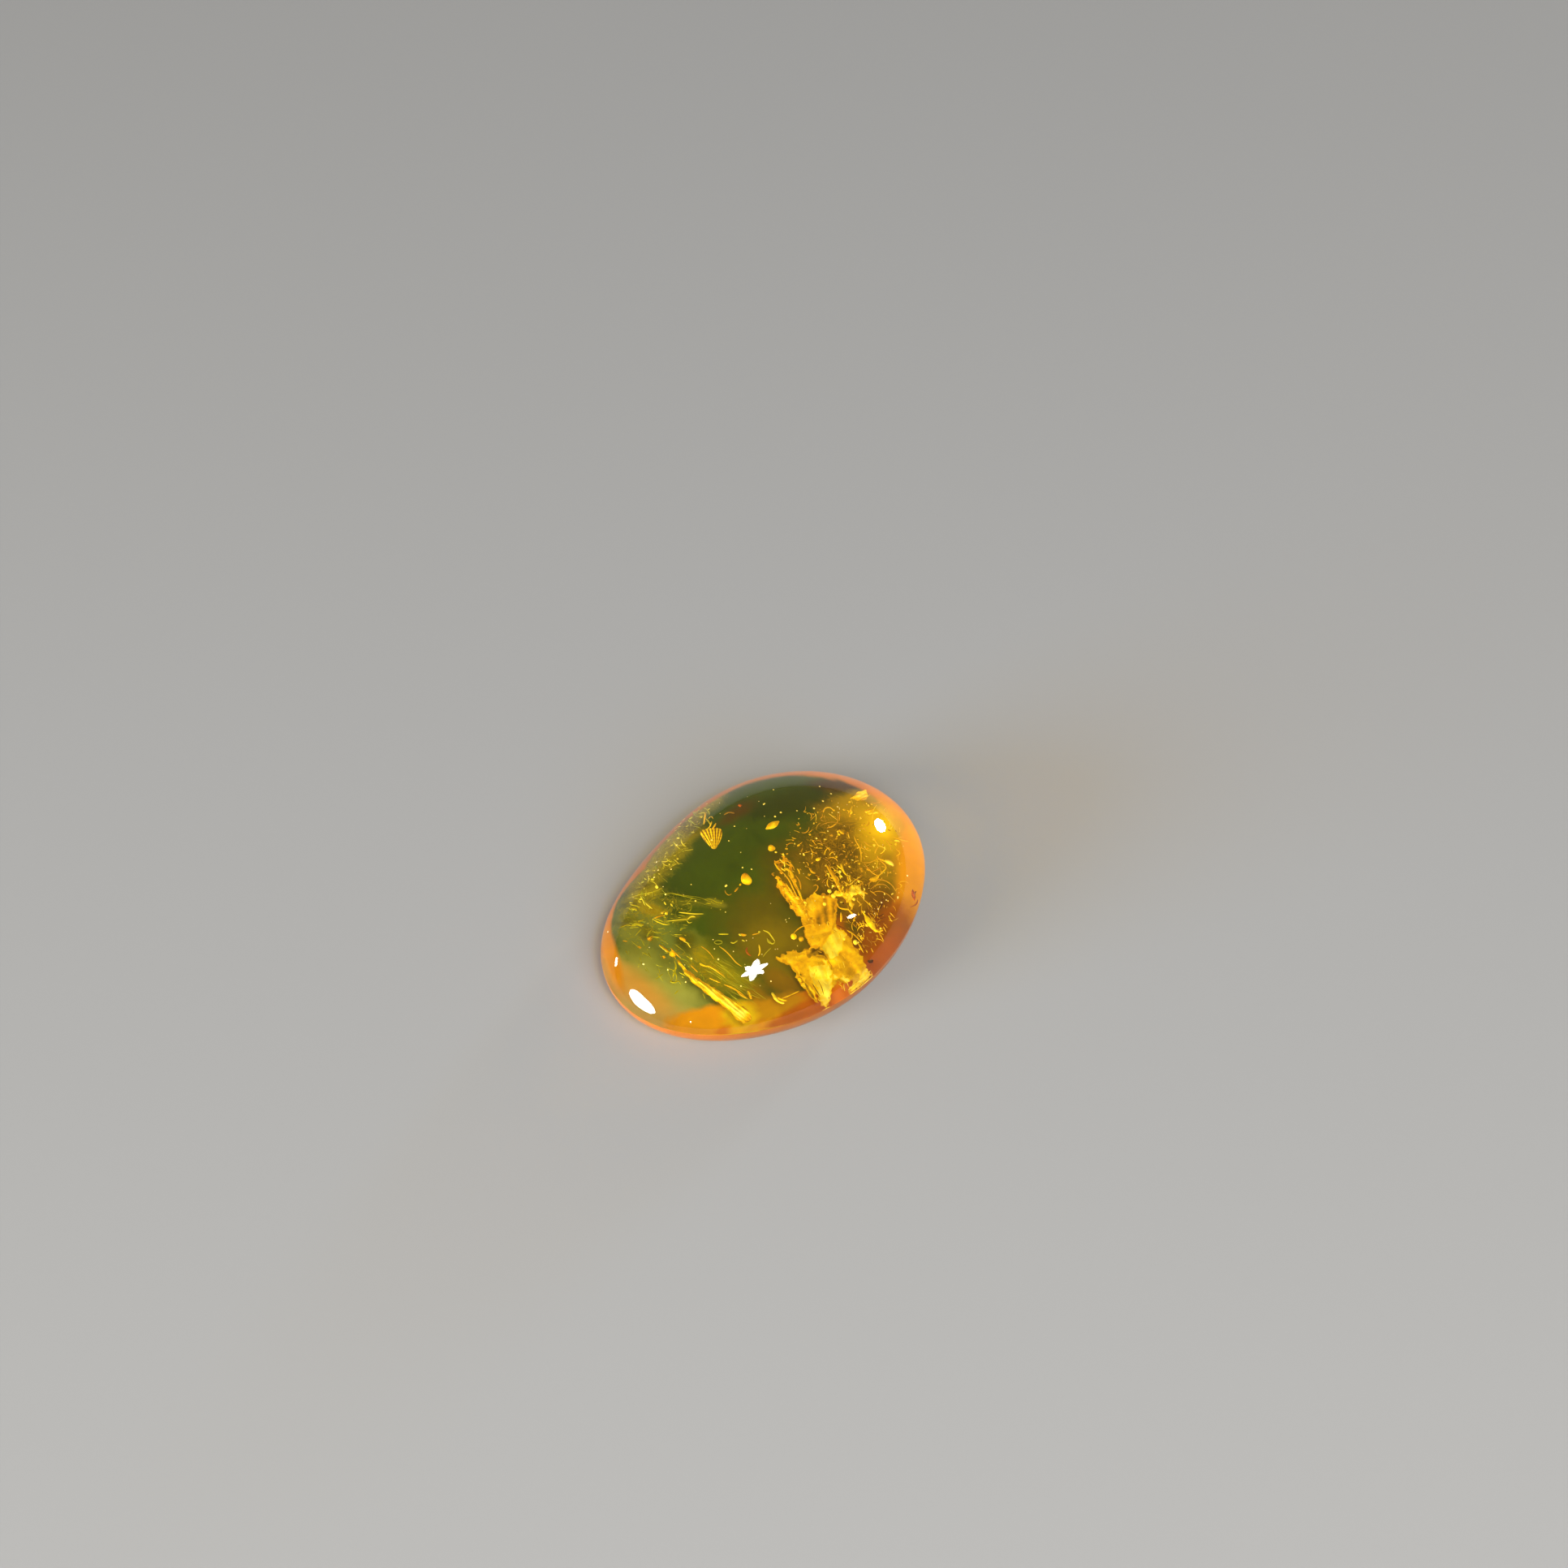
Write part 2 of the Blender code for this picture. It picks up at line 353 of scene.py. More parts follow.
    def mix(self, share, first, second):
        node = self.tree.nodes.new("ShaderNodeMix")
        node.data_type = "RGBA"
        self.feed(node.inputs[0], share)
        self.feed(node.inputs[6], first)
        self.feed(node.inputs[7], second)
        return node.outputs[2]

    def times(self, first, second):
        node = self.tree.nodes.new("ShaderNodeMix")
        node.data_type = "RGBA"
        node.blend_type = "MULTIPLY"
        node.inputs[0].default_value = 1.0
        self.feed(node.inputs[6], first)
        self.feed(node.inputs[7], second)
        return node.outputs[2]

    def tone(self):
        node = self.tree.nodes.new("ShaderNodeVertexColor")
        node.layer_name = "tone"
        return node.outputs["Color"]

    def color(self, value):
        self.feed(self.shader.inputs["Base Color"], value)
        return self.material

    def bump(self, height, distance, strength=1.0):
        node = self.tree.nodes.new("ShaderNodeBump")
        self.feed(node.inputs["Height"], height)
        node.inputs["Distance"].default_value = distance
        node.inputs["Strength"].default_value = strength
        self.feed(self.shader.inputs["Normal"], node.outputs["Normal"])


def amber_material():
    recipe = Recipe("clear_amber", 0.0)
    tree, shader = recipe.tree, recipe.shader
    shader.inputs["Transmission Weight"].default_value = 1.0
    shader.inputs["Base Color"].default_value = (1.0, 1.0, 1.0, 1.0)
    absorb = tree.nodes.new("ShaderNodeVolumeAbsorption")
    absorb.inputs["Color"].default_value = ABSORPTION_COLOR
    absorb.inputs["Density"].default_value = ABSORPTION_DENSITY
    tree.links.new(absorb.outputs[0], recipe.output.inputs["Volume"])
    # Lamp light reaches what is sealed inside, tinted at each surface it crosses.
    path = tree.nodes.new("ShaderNodeLightPath")
    clear = tree.nodes.new("ShaderNodeBsdfTransparent")
    clear.inputs["Color"].default_value = SHADOW_TINT
    mix = tree.nodes.new("ShaderNodeMixShader")
    tree.links.new(path.outputs["Is Shadow Ray"], mix.inputs[0])
    tree.links.new(shader.outputs[0], mix.inputs[1])
    tree.links.new(clear.outputs[0], mix.inputs[2])
    tree.links.new(mix.outputs[0], recipe.output.inputs["Surface"])
    return recipe.material


# Ovals of colour on the clouded back, each by the pixels of its middle and of the ends of two half axes.
# Those in INNER_ZONES lie in the green middle. Those in OUTER_ZONES reach across its edge; the last two of them are
# painted light.
CORE_GREEN = (0.045, 0.122, 0.028)
RING_NEAR = (0.78, 0.33, 0.0)
RING_FAR = (0.60, 0.25, 0.0)
# Painted light: the bright line low in the right-hand rim, where lamp light crosses the stone and gathers, painted on
# the back: the pixel it is brightest at, how far it reaches and its heights, in mm
PAINTED_RIM_LIGHT = (0.98, 0.72, 0.004)
# Painted shade on the side of the dish under the girdle
SIDE_SHADE_TINT = (0.74, 0.55, 1.0)
PAINTED_RIM_LIGHT_PIXEL = (1124, 1058)
PAINTED_RIM_LIGHT_REACH = 4.6
PAINTED_RIM_LIGHT_HEIGHTS = (1.15, 1.45)
# (oval, colour, reach at full strength, reach where it has gone, how ragged)
INNER_ZONES = (
    (((985, 985), (1060, 975), (985, 1010)), (0.030, 0.070, 0.006), 0.3, 1.2, 0.1),
    (((1030, 967), (1066, 972), (1030, 978)), (0.060, 0.040, 0.002), 0.3, 1.2, 0.1),
    (((906, 1002), (940, 984), (903, 1018)), (0.085, 0.066, 0.003), 0.1, 1.1, 0.2),
    (((940, 1138), (996, 1166), (900, 1180)), (0.105, 0.125, 0.008), 0.3, 1.20, 0.15),
    (((962, 1172), (1010, 1198), (926, 1206)), (0.225, 0.225, 0.004), 0.30, 1.20, 0.15),
    (((978, 1072), (1010, 1118), (1022, 1040)), (0.120, 0.140, 0.004), 0.2, 1.15, 0.15),
    (((1058, 1060), (1098, 1124), (1114, 1014)), (0.135, 0.115, 0.002), 0.5, 1.15, 0.15),
    (((1058, 983), (1078, 978), (1062, 995)), (0.560, 0.480, 0.004), 0.1, 1.3, 0.3),
    (((1050, 993), (1092, 985), (1048, 1014)), (0.400, 0.360, 0.002), 0.2, 1.25, 0.15),
    (((1092, 1045), (1107, 1100), (1122, 1020)), (0.460, 0.400, 0.002), 0.2, 1.2, 0.2),
    (((1075, 1120), (1096, 1146), (1102, 1096)), (0.200, 0.120, 0.002), 0.5, 1.2, 0.15),
    (((1050, 1104), (1072, 1112), (1046, 1126)), (0.400, 0.300, 0.002), 0.3, 1.2, 0.20),
    (((975, 1088), (990, 1114), (992, 1078)), (0.270, 0.240, 0.003), 0.2, 1.2, 0.20),
    (((804, 1160), (862, 1218), (840, 1124)), (0.190, 0.335, 0.550), 0.4, 1.15, 0.2),
    (((888, 1198), (938, 1230), (905, 1170)), (0.290, 0.360, 0.030), 0.2, 1.2, 0.2),
    (((962, 1210), (992, 1222), (955, 1228)), (0.260, 0.190, 0.002), 0.3, 1.1, 0.2),
    (((934, 1225), (954, 1232), (938, 1213)), (0.330, 0.230, 0.004), 0.2, 1.2, 0.2),
    (((1003, 1110), (1024, 1160), (1016, 1104)), (0.300, 0.270, 0.008), 0.3, 1.1, 0.15),
    (((822, 1045), (882, 977), (846, 1060)), (0.240, 0.300, 0.030), 0.6, 1.05, 0.2),
    (((845, 1112), (893, 1116), (844, 1119)), (0.14, 0.22, 0.070), 0.1, 1.1, 0.2),
    (((883, 1113), (896, 1117), (882, 1118)), (0.24, 0.32, 0.200), 0.1, 1.3, 0.3),
    (((793, 1101), (824, 1094), (795, 1107)), (0.44, 0.52, 0.040), 0.1, 1.2, 0.3),
    (((803, 1121), (828, 1126), (806, 1131)), (0.42, 0.42, 0.020), 0.3, 1.1, 0.3),
    (((845, 1132), (870, 1127), (845, 1137)), (0.28, 0.33, 0.040), 0.1, 1.1, 0.2),
    (((776, 1133), (793, 1137), (778, 1140)), (0.10, 0.22, 0.040), 0.3, 1.1, 0.3),
    (((800, 1149), (816, 1153), (802, 1161)), (0.13, 0.20, 0.080), 0.2, 1.1, 0.3),
    (((843, 1160), (860, 1154), (850, 1178)), (0.09, 0.14, 0.050), 0.2, 1.1, 0.3),
    (((786, 1176), (812, 1192), (796, 1160)), (0.26, 0.38, 0.400), 0.3, 1.2, 0.20),
    (((815, 1190), (835, 1180), (820, 1200)), (0.14, 0.24, 0.250), 0.2, 1.1, 0.3),
)
# (oval, colour, veins in each mm, how twisted)
VEINED_ZONES = (
    (((822, 1045), (884, 975), (848, 1062)), (0.55, 0.62, 0.05), 1.3, 1.6),
    (((800, 1130), (866, 1120), (806, 1168)), (0.50, 0.56, 0.10), 0.9, 1.2),
    (((870, 1195), (925, 1228), (885, 1176)), (0.55, 0.50, 0.02), 0.9, 1.2),
    (((1050, 1050), (1090, 1115), (1100, 1005)), (0.55, 0.42, 0.004), 1.1, 1.8),
)
OUTER_ZONES = (
    (((806, 1224), (888, 1262), (828, 1186)), (0.43, 0.60, 0.850), 0.35, 1.15, 0.10),
    (((780, 1216), (846, 1264), (796, 1200)), (0.74, 0.52, 0.600), 0.30, 1.30, 0.10),
    (((752, 1175), (766, 1230), (762, 1172)), (0.82, 0.42, 0.004), 0.5, 1.2, 0.0),
    (((1124, 1075), (1122, 1145), (1100, 1075)), (0.76, 0.44, 0.001), 0.5, 1.15, 0.06),
    (((1090, 1150), (1122, 1110), (1064, 1132)), (0.34, 0.125, 0.001), 0.6, 1.15, 0.10),
    (((1078, 1192), (1115, 1150), (1062, 1178)), (0.52, 0.15, 0.001), 0.4, 1.2, 0.1),
    (((895, 1262), (972, 1258), (893, 1235)), (0.92, 0.50, 0.001), 0.80, 1.08, 0.10),
    (((900, 1271), (970, 1266), (899, 1260)), (0.80, 0.30, 0.001), 0.60, 1.20, 0.10),
    (((950, 1243), (1005, 1230), (950, 1226)), (0.62, 0.38, 0.002), 0.5, 1.2, 0.20),
    (((985, 1252), (1050, 1222), (982, 1236)), (0.55, 0.17, 0.001), 0.6, 1.15, 0.12),
    (((912, 1266), (938, 1270), (916, 1254)), (0.98, 0.62, 0.004), 0.2, 1.25, 0.10),
    (((910, 1250), (934, 1262), (920, 1234)), (0.98, 0.92, 0.010), 0.3, 1.25, 0.20),
    (((1030, 1190), (1040, 1238), (1060, 1178)), (0.84, 0.30, 0.002), 0.45, 1.15, 0.12),
    (((1109, 1016), (1117, 1024), (1115, 1010)), (0.50, 0.27, 0.002), 0.1, 1.30, 0.30),
    (((1052, 1227), (1078, 1203), (1056, 1233)), (0.95, 0.60, 0.003), 0.2, 1.20, 0.10),
    # Painted light: the yellow halo and hot middle of the lamp light that the stone gathers at its right-hand far side
    (((1085, 1018), (1112, 1045), (1108, 988)), (0.92, 0.82, 0.004), 0.1, 1.15, 0.10),
    (((1087, 1020), (1101, 1020), (1087, 1034)), (1.0, 1.0, 0.010), 0.3, 1.2, 0.0),
)


def ground_material():
    """The clouded back of the stone: green under the middle, honey orange round the rim, with painted light at the
    right-hand rim and far side, and painted shade on the side of the dish.
    """
    recipe = Recipe("clouded_back", 0.7)
    place = recipe.place()

    def painted(color, zones):
        for oval, hue, full, gone, ragged in zones:
            reach = recipe.zone(place, oval, ragged)
            color = recipe.mix(recipe.span(reach, full, gone, 1.0, 0.0), color, hue)
        return color

    def veined(color, oval, hue, size, twist):
        """Crossing veins of a paler colour, with milky haze between them, that thin out to the oval's edge."""
        mask = recipe.span(recipe.zone(place, oval, 0.2), 0.3, 1.1, 1.0, 0.0)
        swirl = recipe.noise(place, size, 4.0, 0.62, twist)
        crest = recipe.sum(recipe.sum(swirl, 0.5, "SUBTRACT"), 0.0, "ABSOLUTE")
        lines = recipe.span(crest, 0.0, 0.035, 0.75, 0.0)
        haze = recipe.span(recipe.noise(place, size * 0.7, 2.0), 0.40, 0.70, 0.0, 0.35)
        share = recipe.sum(recipe.sum(lines, haze, "MAXIMUM"), mask, "MULTIPLY")
        return recipe.mix(share, color, hue)

    edge = recipe.sum(recipe.reach(place, *GREEN_MIDDLE), recipe.reach(place, *GREEN_LEFT), "MINIMUM")
    edge = recipe.sum(edge, recipe.span(recipe.noise(place, 0.35, 3.0, 0.5), 0.3, 0.7, -0.02, 0.02))
    middle = painted(CORE_GREEN, INNER_ZONES)
    for oval, hue, size, twist in VEINED_ZONES:
        middle = veined(middle, oval, hue, size, twist)
    # The ring round it is paler on the camera's side.
    towards = math.atan2(BACK.y, BACK.x)
    nearness = recipe.axes(recipe.turned(place, (0.0, 0.0, 0.0), towards))[0]
    ring = recipe.mix(recipe.span(nearness, -6.0, 3.0), RING_FAR, RING_NEAR)
    color = recipe.mix(recipe.span(edge, 0.955, 1.005), middle, ring)
    color = painted(color, OUTER_ZONES)
    # Painted shade: the side of the dish under the girdle, which the key lamp lights, is painted darker than its floor.
    side = recipe.span(recipe.axes(place)[2], 0.8, 1.4)
    color = recipe.mix(side, color, recipe.times(color, SIDE_SHADE_TINT))
    # Painted light: the line of lamp light gathered low in the right-hand rim, painted on the side of the dish.
    rim_light_middle = sight.at_height(*PAINTED_RIM_LIGHT_PIXEL, GROUND_INSET) / MM
    rim_light_reach = recipe.reach(place, (*rim_light_middle.xy, 0.0), (PAINTED_RIM_LIGHT_REACH, PAINTED_RIM_LIGHT_REACH, 1000.0))
    painted_rim_light = recipe.sum(recipe.span(rim_light_reach, 0.4, 1.1, 1.0, 0.0), recipe.span(recipe.axes(place)[2], *PAINTED_RIM_LIGHT_HEIGHTS), "MULTIPLY")
    color = recipe.mix(painted_rim_light, color, PAINTED_RIM_LIGHT)
    cloud = recipe.ramp(recipe.noise(place, 0.45, 4.0, 0.55, 0.5), (0.3, (0.84, 0.84, 0.84)), (0.7, (1.0, 1.0, 1.0)))
    return recipe.color(recipe.times(color, cloud))


def gold_material(name, roughness=0.35, metallic=0.0):
    """Fractures full of light: their own gold, with painted shade in their folds, where the tone is brown, and painted
    highlights on their crests, where it is pale gold.
    """
    recipe = Recipe(name, roughness, metallic)
    fine = recipe.noise(recipe.place(), 3.0, 3.0, 0.6, 0.6)
    value = recipe.sum(recipe.tone(), recipe.span(fine, 0.3, 0.7, -0.07, 0.07))
    return recipe.color(
        recipe.ramp(
            value,
            (0.0, (0.08, 0.045, 0.003)),
            (0.25, (0.30, 0.20, 0.006)),
            (0.50, (0.70, 0.44, 0.008)),
            (0.75, (0.98, 0.76, 0.015)),
            (1.0, (1.0, 1.0, 0.45)),
        )
    )


FRAGMENT_TIP = (0.05, 4.40, 0.0)  # in plan, in mm, as in the CAD
FRAGMENT_TURN = math.atan2(1.25, 1.30)
RIBS = 62.0


def ribbed_material():
    """Bright ribs that fan out from the fragment's tip, with short brown bars between them."""
    recipe = Recipe("ribbed_fragment", 0.3)
    place = recipe.place()
    along, aside, _ = recipe.axes(recipe.turned(place, FRAGMENT_TIP, FRAGMENT_TURN))
    fan = recipe.sum(aside, recipe.sum(along, 0.5), "DIVIDE")
    ribs = recipe.sum(recipe.sum(fan, RIBS, "MULTIPLY"), 0.0, "SINE")
    bars = recipe.sum(recipe.sum(along, 24.0, "MULTIPLY"), 0.0, "SINE")
    value = recipe.sum(recipe.span(ribs, -0.7, 0.7, 0.0, 0.75), recipe.span(bars, -1.0, 1.0, 0.0, 0.18))
    value = recipe.sum(value, recipe.span(recipe.noise(place, 5.0), 0.3, 0.7, -0.15, 0.15))
    return recipe.color(
        recipe.ramp(value, (0.1, (0.20, 0.13, 0.002)), (0.45, (0.62, 0.42, 0.004)), (0.8, (1.0, 0.86, 0.02)))
    )


def nugget_material(name, dark, bright, grain=3.5):
    """A grain of gold, rust or dark matter, mottled between two colours."""
    recipe = Recipe(name, 0.3)
    place = recipe.place()
    value = recipe.noise(place, grain, 4.0, 0.6, 0.4)
    return recipe.color(recipe.ramp(value, (0.32, dark), (0.62, bright)))


def paint(name, material):
    for slot in bpy.data.objects[name].material_slots:
        slot.material = material


def paint_inclusions():
    """The looks of the solids that come from the CAD."""
    paint("ridged_fragment", ribbed_material())
    paint("golden_drop", nugget_material("drop_gold", (0.75, 0.42, 0.004), (1.0, 0.95, 0.05), 1.6))
    paint("golden_chip", nugget_material("chip_gold", (0.72, 0.46, 0.004), (1.0, 0.95, 0.05), 2.2))
    paint("golden_bead", nugget_material("bead_gold", (0.50, 0.29, 0.003), (1.0, 0.85, 0.03), 4.0))
    paint("slender_body", nugget_material("slender_gold", (0.60, 0.36, 0.004), (1.0, 0.88, 0.03), 2.5))
    paint("dark_speck", nugget_material("dark_brown", (0.012, 0.006, 0.001), (0.16, 0.06, 0.004), 5.0))
    paint("red_crumb", nugget_material("rust_brown", (0.08, 0.012, 0.001), (0.52, 0.10, 0.002), 4.0))


# ---------------------------------------------------------------- inside the stone


def make_ground():
    """A dish that follows the underside, the bevel and the foot of the dome just inside the surface."""
    mesh = bpy.data.meshes.new("clouded_back")
    shape = bmesh.new()
    profile = [(BASE_SHARE * i / 24, 0.0) for i in range(1, 24)]
    profile += [(share, height) for share, height in stone_profile() if height < GROUND_TOP]
    rows = []
    for share, height in profile:
        inner = share * (1 - GROUND_INSET / HALF_WIDTH)
        rise = GROUND_INSET * max(0.0, 1 - height / GIRDLE_HEIGHT)
        rows.append([shape.verts.new((*POLE.lerp(p, inner), height + rise)) for p in GIRDLE])
    middle = shape.verts.new((*POLE, GROUND_INSET))
    for k in range(SECTORS):
        after = (k + 1) % SECTORS
        shape.faces.new((middle, rows[0][k], rows[0][after]))
        for inner, outer in zip(rows, rows[1:]):
            shape.faces.new((inner[k], outer[k], outer[after], inner[after]))
    shape.to_mesh(mesh)
    shape.free()
    mesh.shade_smooth()
    return show("clouded_back", mesh, ground_material())


def show(name, mesh, material):
    """Puts a piece in the scene, fixed to the stone."""
    piece = bpy.data.objects.new(name, mesh)
    bpy.context.scene.collection.objects.link(piece)
    mesh.materials.append(material)
    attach(piece, "root")
    return piece


def inside(outline, across, down):
    """True if a pixel lies in a closed outline of pixels."""
    found = False
    for (x1, y1), (x2, y2) in zip(outline, outline[1:] + outline[:1]):
        if (y1 > down) != (y2 > down) and across < (x2 - x1) * (down - y1) / (y2 - y1) + x1:
            found = not found
    return found


def depth_in(outline, across, down):
    """How many pixels a pixel lies inside an outline, less than 0 outside it."""
    nearest = math.inf
    for (x1, y1), (x2, y2) in zip(outline, outline[1:] + outline[:1]):
        along = ((across - x1) * (x2 - x1) + (down - y1) * (y2 - y1)) / ((x2 - x1) ** 2 + (y2 - y1) ** 2)
        along = min(max(along, 0.0), 1.0)
        gap = math.hypot(across - x1 - (x2 - x1) * along, down - y1 - (y2 - y1) * along)
        nearest = min(nearest, gap)
    return nearest if inside(outline, across, down) else -nearest


def smooth(value, low, high):
    """0 below low, 1 above high and an S between them."""
    share = min(max((value - low) / (high - low), 0.0), 1.0)
    return share * share * (3 - 2 * share)


def waves(across, down, size, seed):
    """Noise over the picture from about -1 to 1, with waves of this many pixels."""
    return noise.noise(Vector((across / size, down / size, seed))) * 1.6


def ridges(across, down, size, seed, octaves=3):
    """Ridged noise over the picture, 1 on the crests and 0 in the hollows between them."""
    total, weight, share = 0.0, 0.0, 1.0
    for _ in range(octaves):
        total += (1 - min(1.0, abs(waves(across, down, size, seed)) * 1.4)) * share
        weight += share
        size /= 2.1
        share *= 0.55
    return total / weight


def streaks(across, down, heading, length, width, seed):
    """Noise drawn out along a heading in degrees, from about -1 to 1."""
    turn = math.radians(heading)
    along = across * math.cos(turn) - down * math.sin(turn)
    aside = across * math.sin(turn) + down * math.cos(turn)
    return noise.noise(Vector((along / length, aside / width, seed))) * 1.6


def curve_through(pixels, step=1.5):
    """Pixels about this far apart on a smooth curve through some pixels."""
    points = [Vector(pixel) for pixel in pixels]
    points = [points[0] * 2 - points[1], *points, points[-1] * 2 - points[-2]]
    found = []
    for p0, p1, p2, p3 in zip(points, points[1:], points[2:], points[3:]):
        parts = max(1, round((p2 - p1).length / step))
        for i in range(parts):
            t = i / parts
            found.append(
                p1
                + (p2 - p0) * (t / 2)
                + (p0 * 2 - p1 * 5 + p2 * 4 - p3) * (t * t / 2)
                + (p1 * 3 - p0 - p2 * 3 + p3) * (t**3 / 2)
            )
    return [*found, points[-2]]


class Flecks:
    """Gathers the thin shapes of one kind of crack into one mesh, each with a tone from dark to pale."""

    def __init__(self, seed):
        self.points, self.faces, self.tones = [], [], []
        self.random = random.Random(seed)

    def add(self, points, faces, tones):
        first = len(self.points)
        self.points += points
        self.faces += [tuple(first + i for i in face) for face in faces]
        self.tones += tones

    def thread(self, pixels, width, height, tone, taper=0.8, climb=0.0):
        """A three-sided strip, in millimetres, seen along these pixels, that narrows to both ends."""
        path = []
        pixels = [pixel for pixel in pixels if sight.enter(*pixel)]
        for i, (across, down) in enumerate(pixels):
            path.append(sight.at_height(across, down, (height + climb * i / len(pixels)) * MM))
        if len(path) < 3:
            return
        points, tones = [], []
        last = len(path) - 1
        roll = self.random.uniform(0, math.tau)
        for i, point in enumerate(path):
            along = path[min(i + 1, last)] - path[max(i - 1, 0)]
            side = along.cross(BACK).normalized()
            rise = side.cross(along).normalized()
            half = width * MM / 2 * (1 - taper * abs(2 * i / last - 1) ** 4)
            half *= 1 + 0.35 * waves(*pixels[i], 7, width * 50)
            for k in range(3):
                angle = roll + math.tau * k / 3
                points.append(point + (side * math.cos(angle) + rise * math.sin(angle)) * half)
                tones.append(tone)
        faces = [(0, 2, 1), (3 * last, 3 * last + 1, 3 * last + 2)]
        for i in range(last):
            for k in range(3):
                after = (k + 1) % 3
                faces.append((3 * i + k, 3 * i + after, 3 * i + 3 + after, 3 * i + 3 + k))
        self.add(points, faces, tones)

    def strand(self, pixels, width, height, tone, taper=0.8, climb=0.0):
        self.thread(curve_through(pixels), width, height, tone, taper, climb)

    def stroke(self, across, down, heading, length, width, height, tone, curl=0.0):
        """A strip drawn from a pixel: heading in degrees anticlockwise from right, curl in degrees a pixel."""
        pixels = []
        for _ in range(max(3, int(length / 1.6))):
            pixels.append((across, down))
            across += math.cos(math.radians(heading)) * 1.6
            down -= math.sin(math.radians(heading)) * 1.6
            heading += curl * 1.6
        self.thread(pixels, width, height, tone)

    def flake(self, across, down, size, height, tone):
        """A small bent scale with ragged corners, tilted at random."""
        centre = sight.at_height(across, down, height * MM)
        if centre is None:
            return
        turn = Matrix.Rotation(self.random.uniform(0, math.tau), 3, "Z")
        tilt = Matrix.Rotation(self.random.uniform(-0.9, 0.9), 3, "X")
        corners = self.random.randint(5, 7)
        points = [centre + Vector((0, 0, 0.15 * size * MM))]
        for k in range(corners):
            angle = math.tau * k / corners
            away = size * MM / 2 * self.random.uniform(0.5, 1.0)
            spot = Vector((math.cos(angle) * away, math.sin(angle) * away * 0.7, 0))
            points.append(centre + turn @ tilt @ spot)
        faces = [(0, k + 1, (k + 1) % corners + 1) for k in range(corners)]
        self.add(points, faces, [tone] * len(points))

    def bead(self, across, down, size, height, tone, stretch=(1.0, 1.0)):
        """A small bubble, as wide as size in the picture times the two stretches, to the right and up."""
        centre = sight.at_height(across, down, height * MM)
        if centre is None:
            return
        points, faces = [], []
        half = size * MM / 2
        rings, sides = 6, 8
        axes = (RIGHT * half * stretch[0], UP * half * stretch[1], BACK * half)
        for i in range(1, rings):
            polar = math.pi * i / rings
            for k in range(sides):
                angle = math.tau * k / sides
                flat = math.sin(polar)
                spot = axes[0] * math.cos(angle) * flat + axes[1] * math.sin(angle) * flat
                points.append(centre + spot + axes[2] * math.cos(polar))
        top, bottom = len(points), len(points) + 1
        points += [centre + axes[2], centre - axes[2]]
        for k in range(sides):
            after = (k + 1) % sides
            faces.append((top, k, after))
            faces.append((bottom, (rings - 2) * sides + after, (rings - 2) * sides + k))
            for i in range(rings - 2):
                faces.append((i * sides + k, (i + 1) * sides + k, (i + 1) * sides + after, i * sides + after))
        self.add(points, faces, [tone] * len(points))

    def sheet(self, outline, cell, surface, ragged=5.0, torn=9.0):
        """A crumpled sheet over an outline of pixels, with edges torn this many pixels in and out.

        surface(across, down, depth) gives the height in millimetres and the tone at a pixel, or None in a hole.
        """
        seed = self.random.uniform(0, 100)
        left, right = min(p[0] for p in outline) - ragged, max(p[0] for p in outline) + ragged
        top, bottom = min(p[1] for p in outline) - ragged, max(p[1] for p in outline) + ragged
        columns, rows = int((right - left) / cell) + 1, int((bottom - top) / cell) + 1
        ids, points, tones = {}, [], []
        for j in range(rows):
            for i in range(columns):
                across, down = left + i * cell, top + j * cell
                depth = depth_in(outline, across, down) + waves(across, down, torn, seed) * ragged
                if depth < 0:
                    continue
                found = surface(across, down, depth)
                if found is None:
                    continue
                point = sight.at_height(across, down, max(0.3, found[0]) * MM)
                if point is None:
                    continue
                ids[i, j] = len(points)
                points.append(point)
                tones.append(min(max(found[1], 0.0), 1.0))
        faces = []
        for i, j in ids:
            square = [(i, j), (i, j + 1), (i + 1, j + 1), (i + 1, j)]
            if all(corner in ids for corner in square):
                faces.append(tuple(ids[corner] for corner in square))
        self.add(points, faces, tones)

    def scatter(self, outline, count):
        """Random pixels in an outline."""
        left, right = min(p[0] for p in outline), max(p[0] for p in outline)
        top, bottom = min(p[1] for p in outline), max(p[1] for p in outline)
        found = []
        while len(found) < count:
            across, down = self.random.uniform(left, right), self.random.uniform(top, bottom)
            if inside(outline, across, down):
                found.append((across, down))
        return found

    def finish(self, name, material):
        mesh = bpy.data.meshes.new(name)
        mesh.from_pydata(self.points, [], self.faces)
        tones = mesh.color_attributes.new("tone", "FLOAT_COLOR", "POINT")
        for i, tone in enumerate(self.tones):
            tones.data[i].color = (tone, tone, tone, 1.0)
        mesh.validate()
        mesh.shade_smooth()
        return show(name, mesh, material)


def green_gold_material():
    """Fine cracks in the green part: dark olive to pale yellow-green."""
    recipe = Recipe("green_gold_cracks", 0.4)
    return recipe.color(
        recipe.ramp(
            recipe.tone(),
            (0.0, (0.05, 0.10, 0.010)),
            (0.35, (0.22, 0.29, 0.020)),
            (0.65, (0.55, 0.60, 0.060)),
            (1.0, (1.0, 1.0, 0.45)),
        )
    )


def bubble_glint_material():
    # Painted glints: the bubbles are a diffuse white that stands in for the light they reflect.
    recipe = Recipe("bubbles", 0.2)
    return recipe.color((0.95, 0.95, 0.85))


# ---------------------------------------------------------------- cracks in the left part

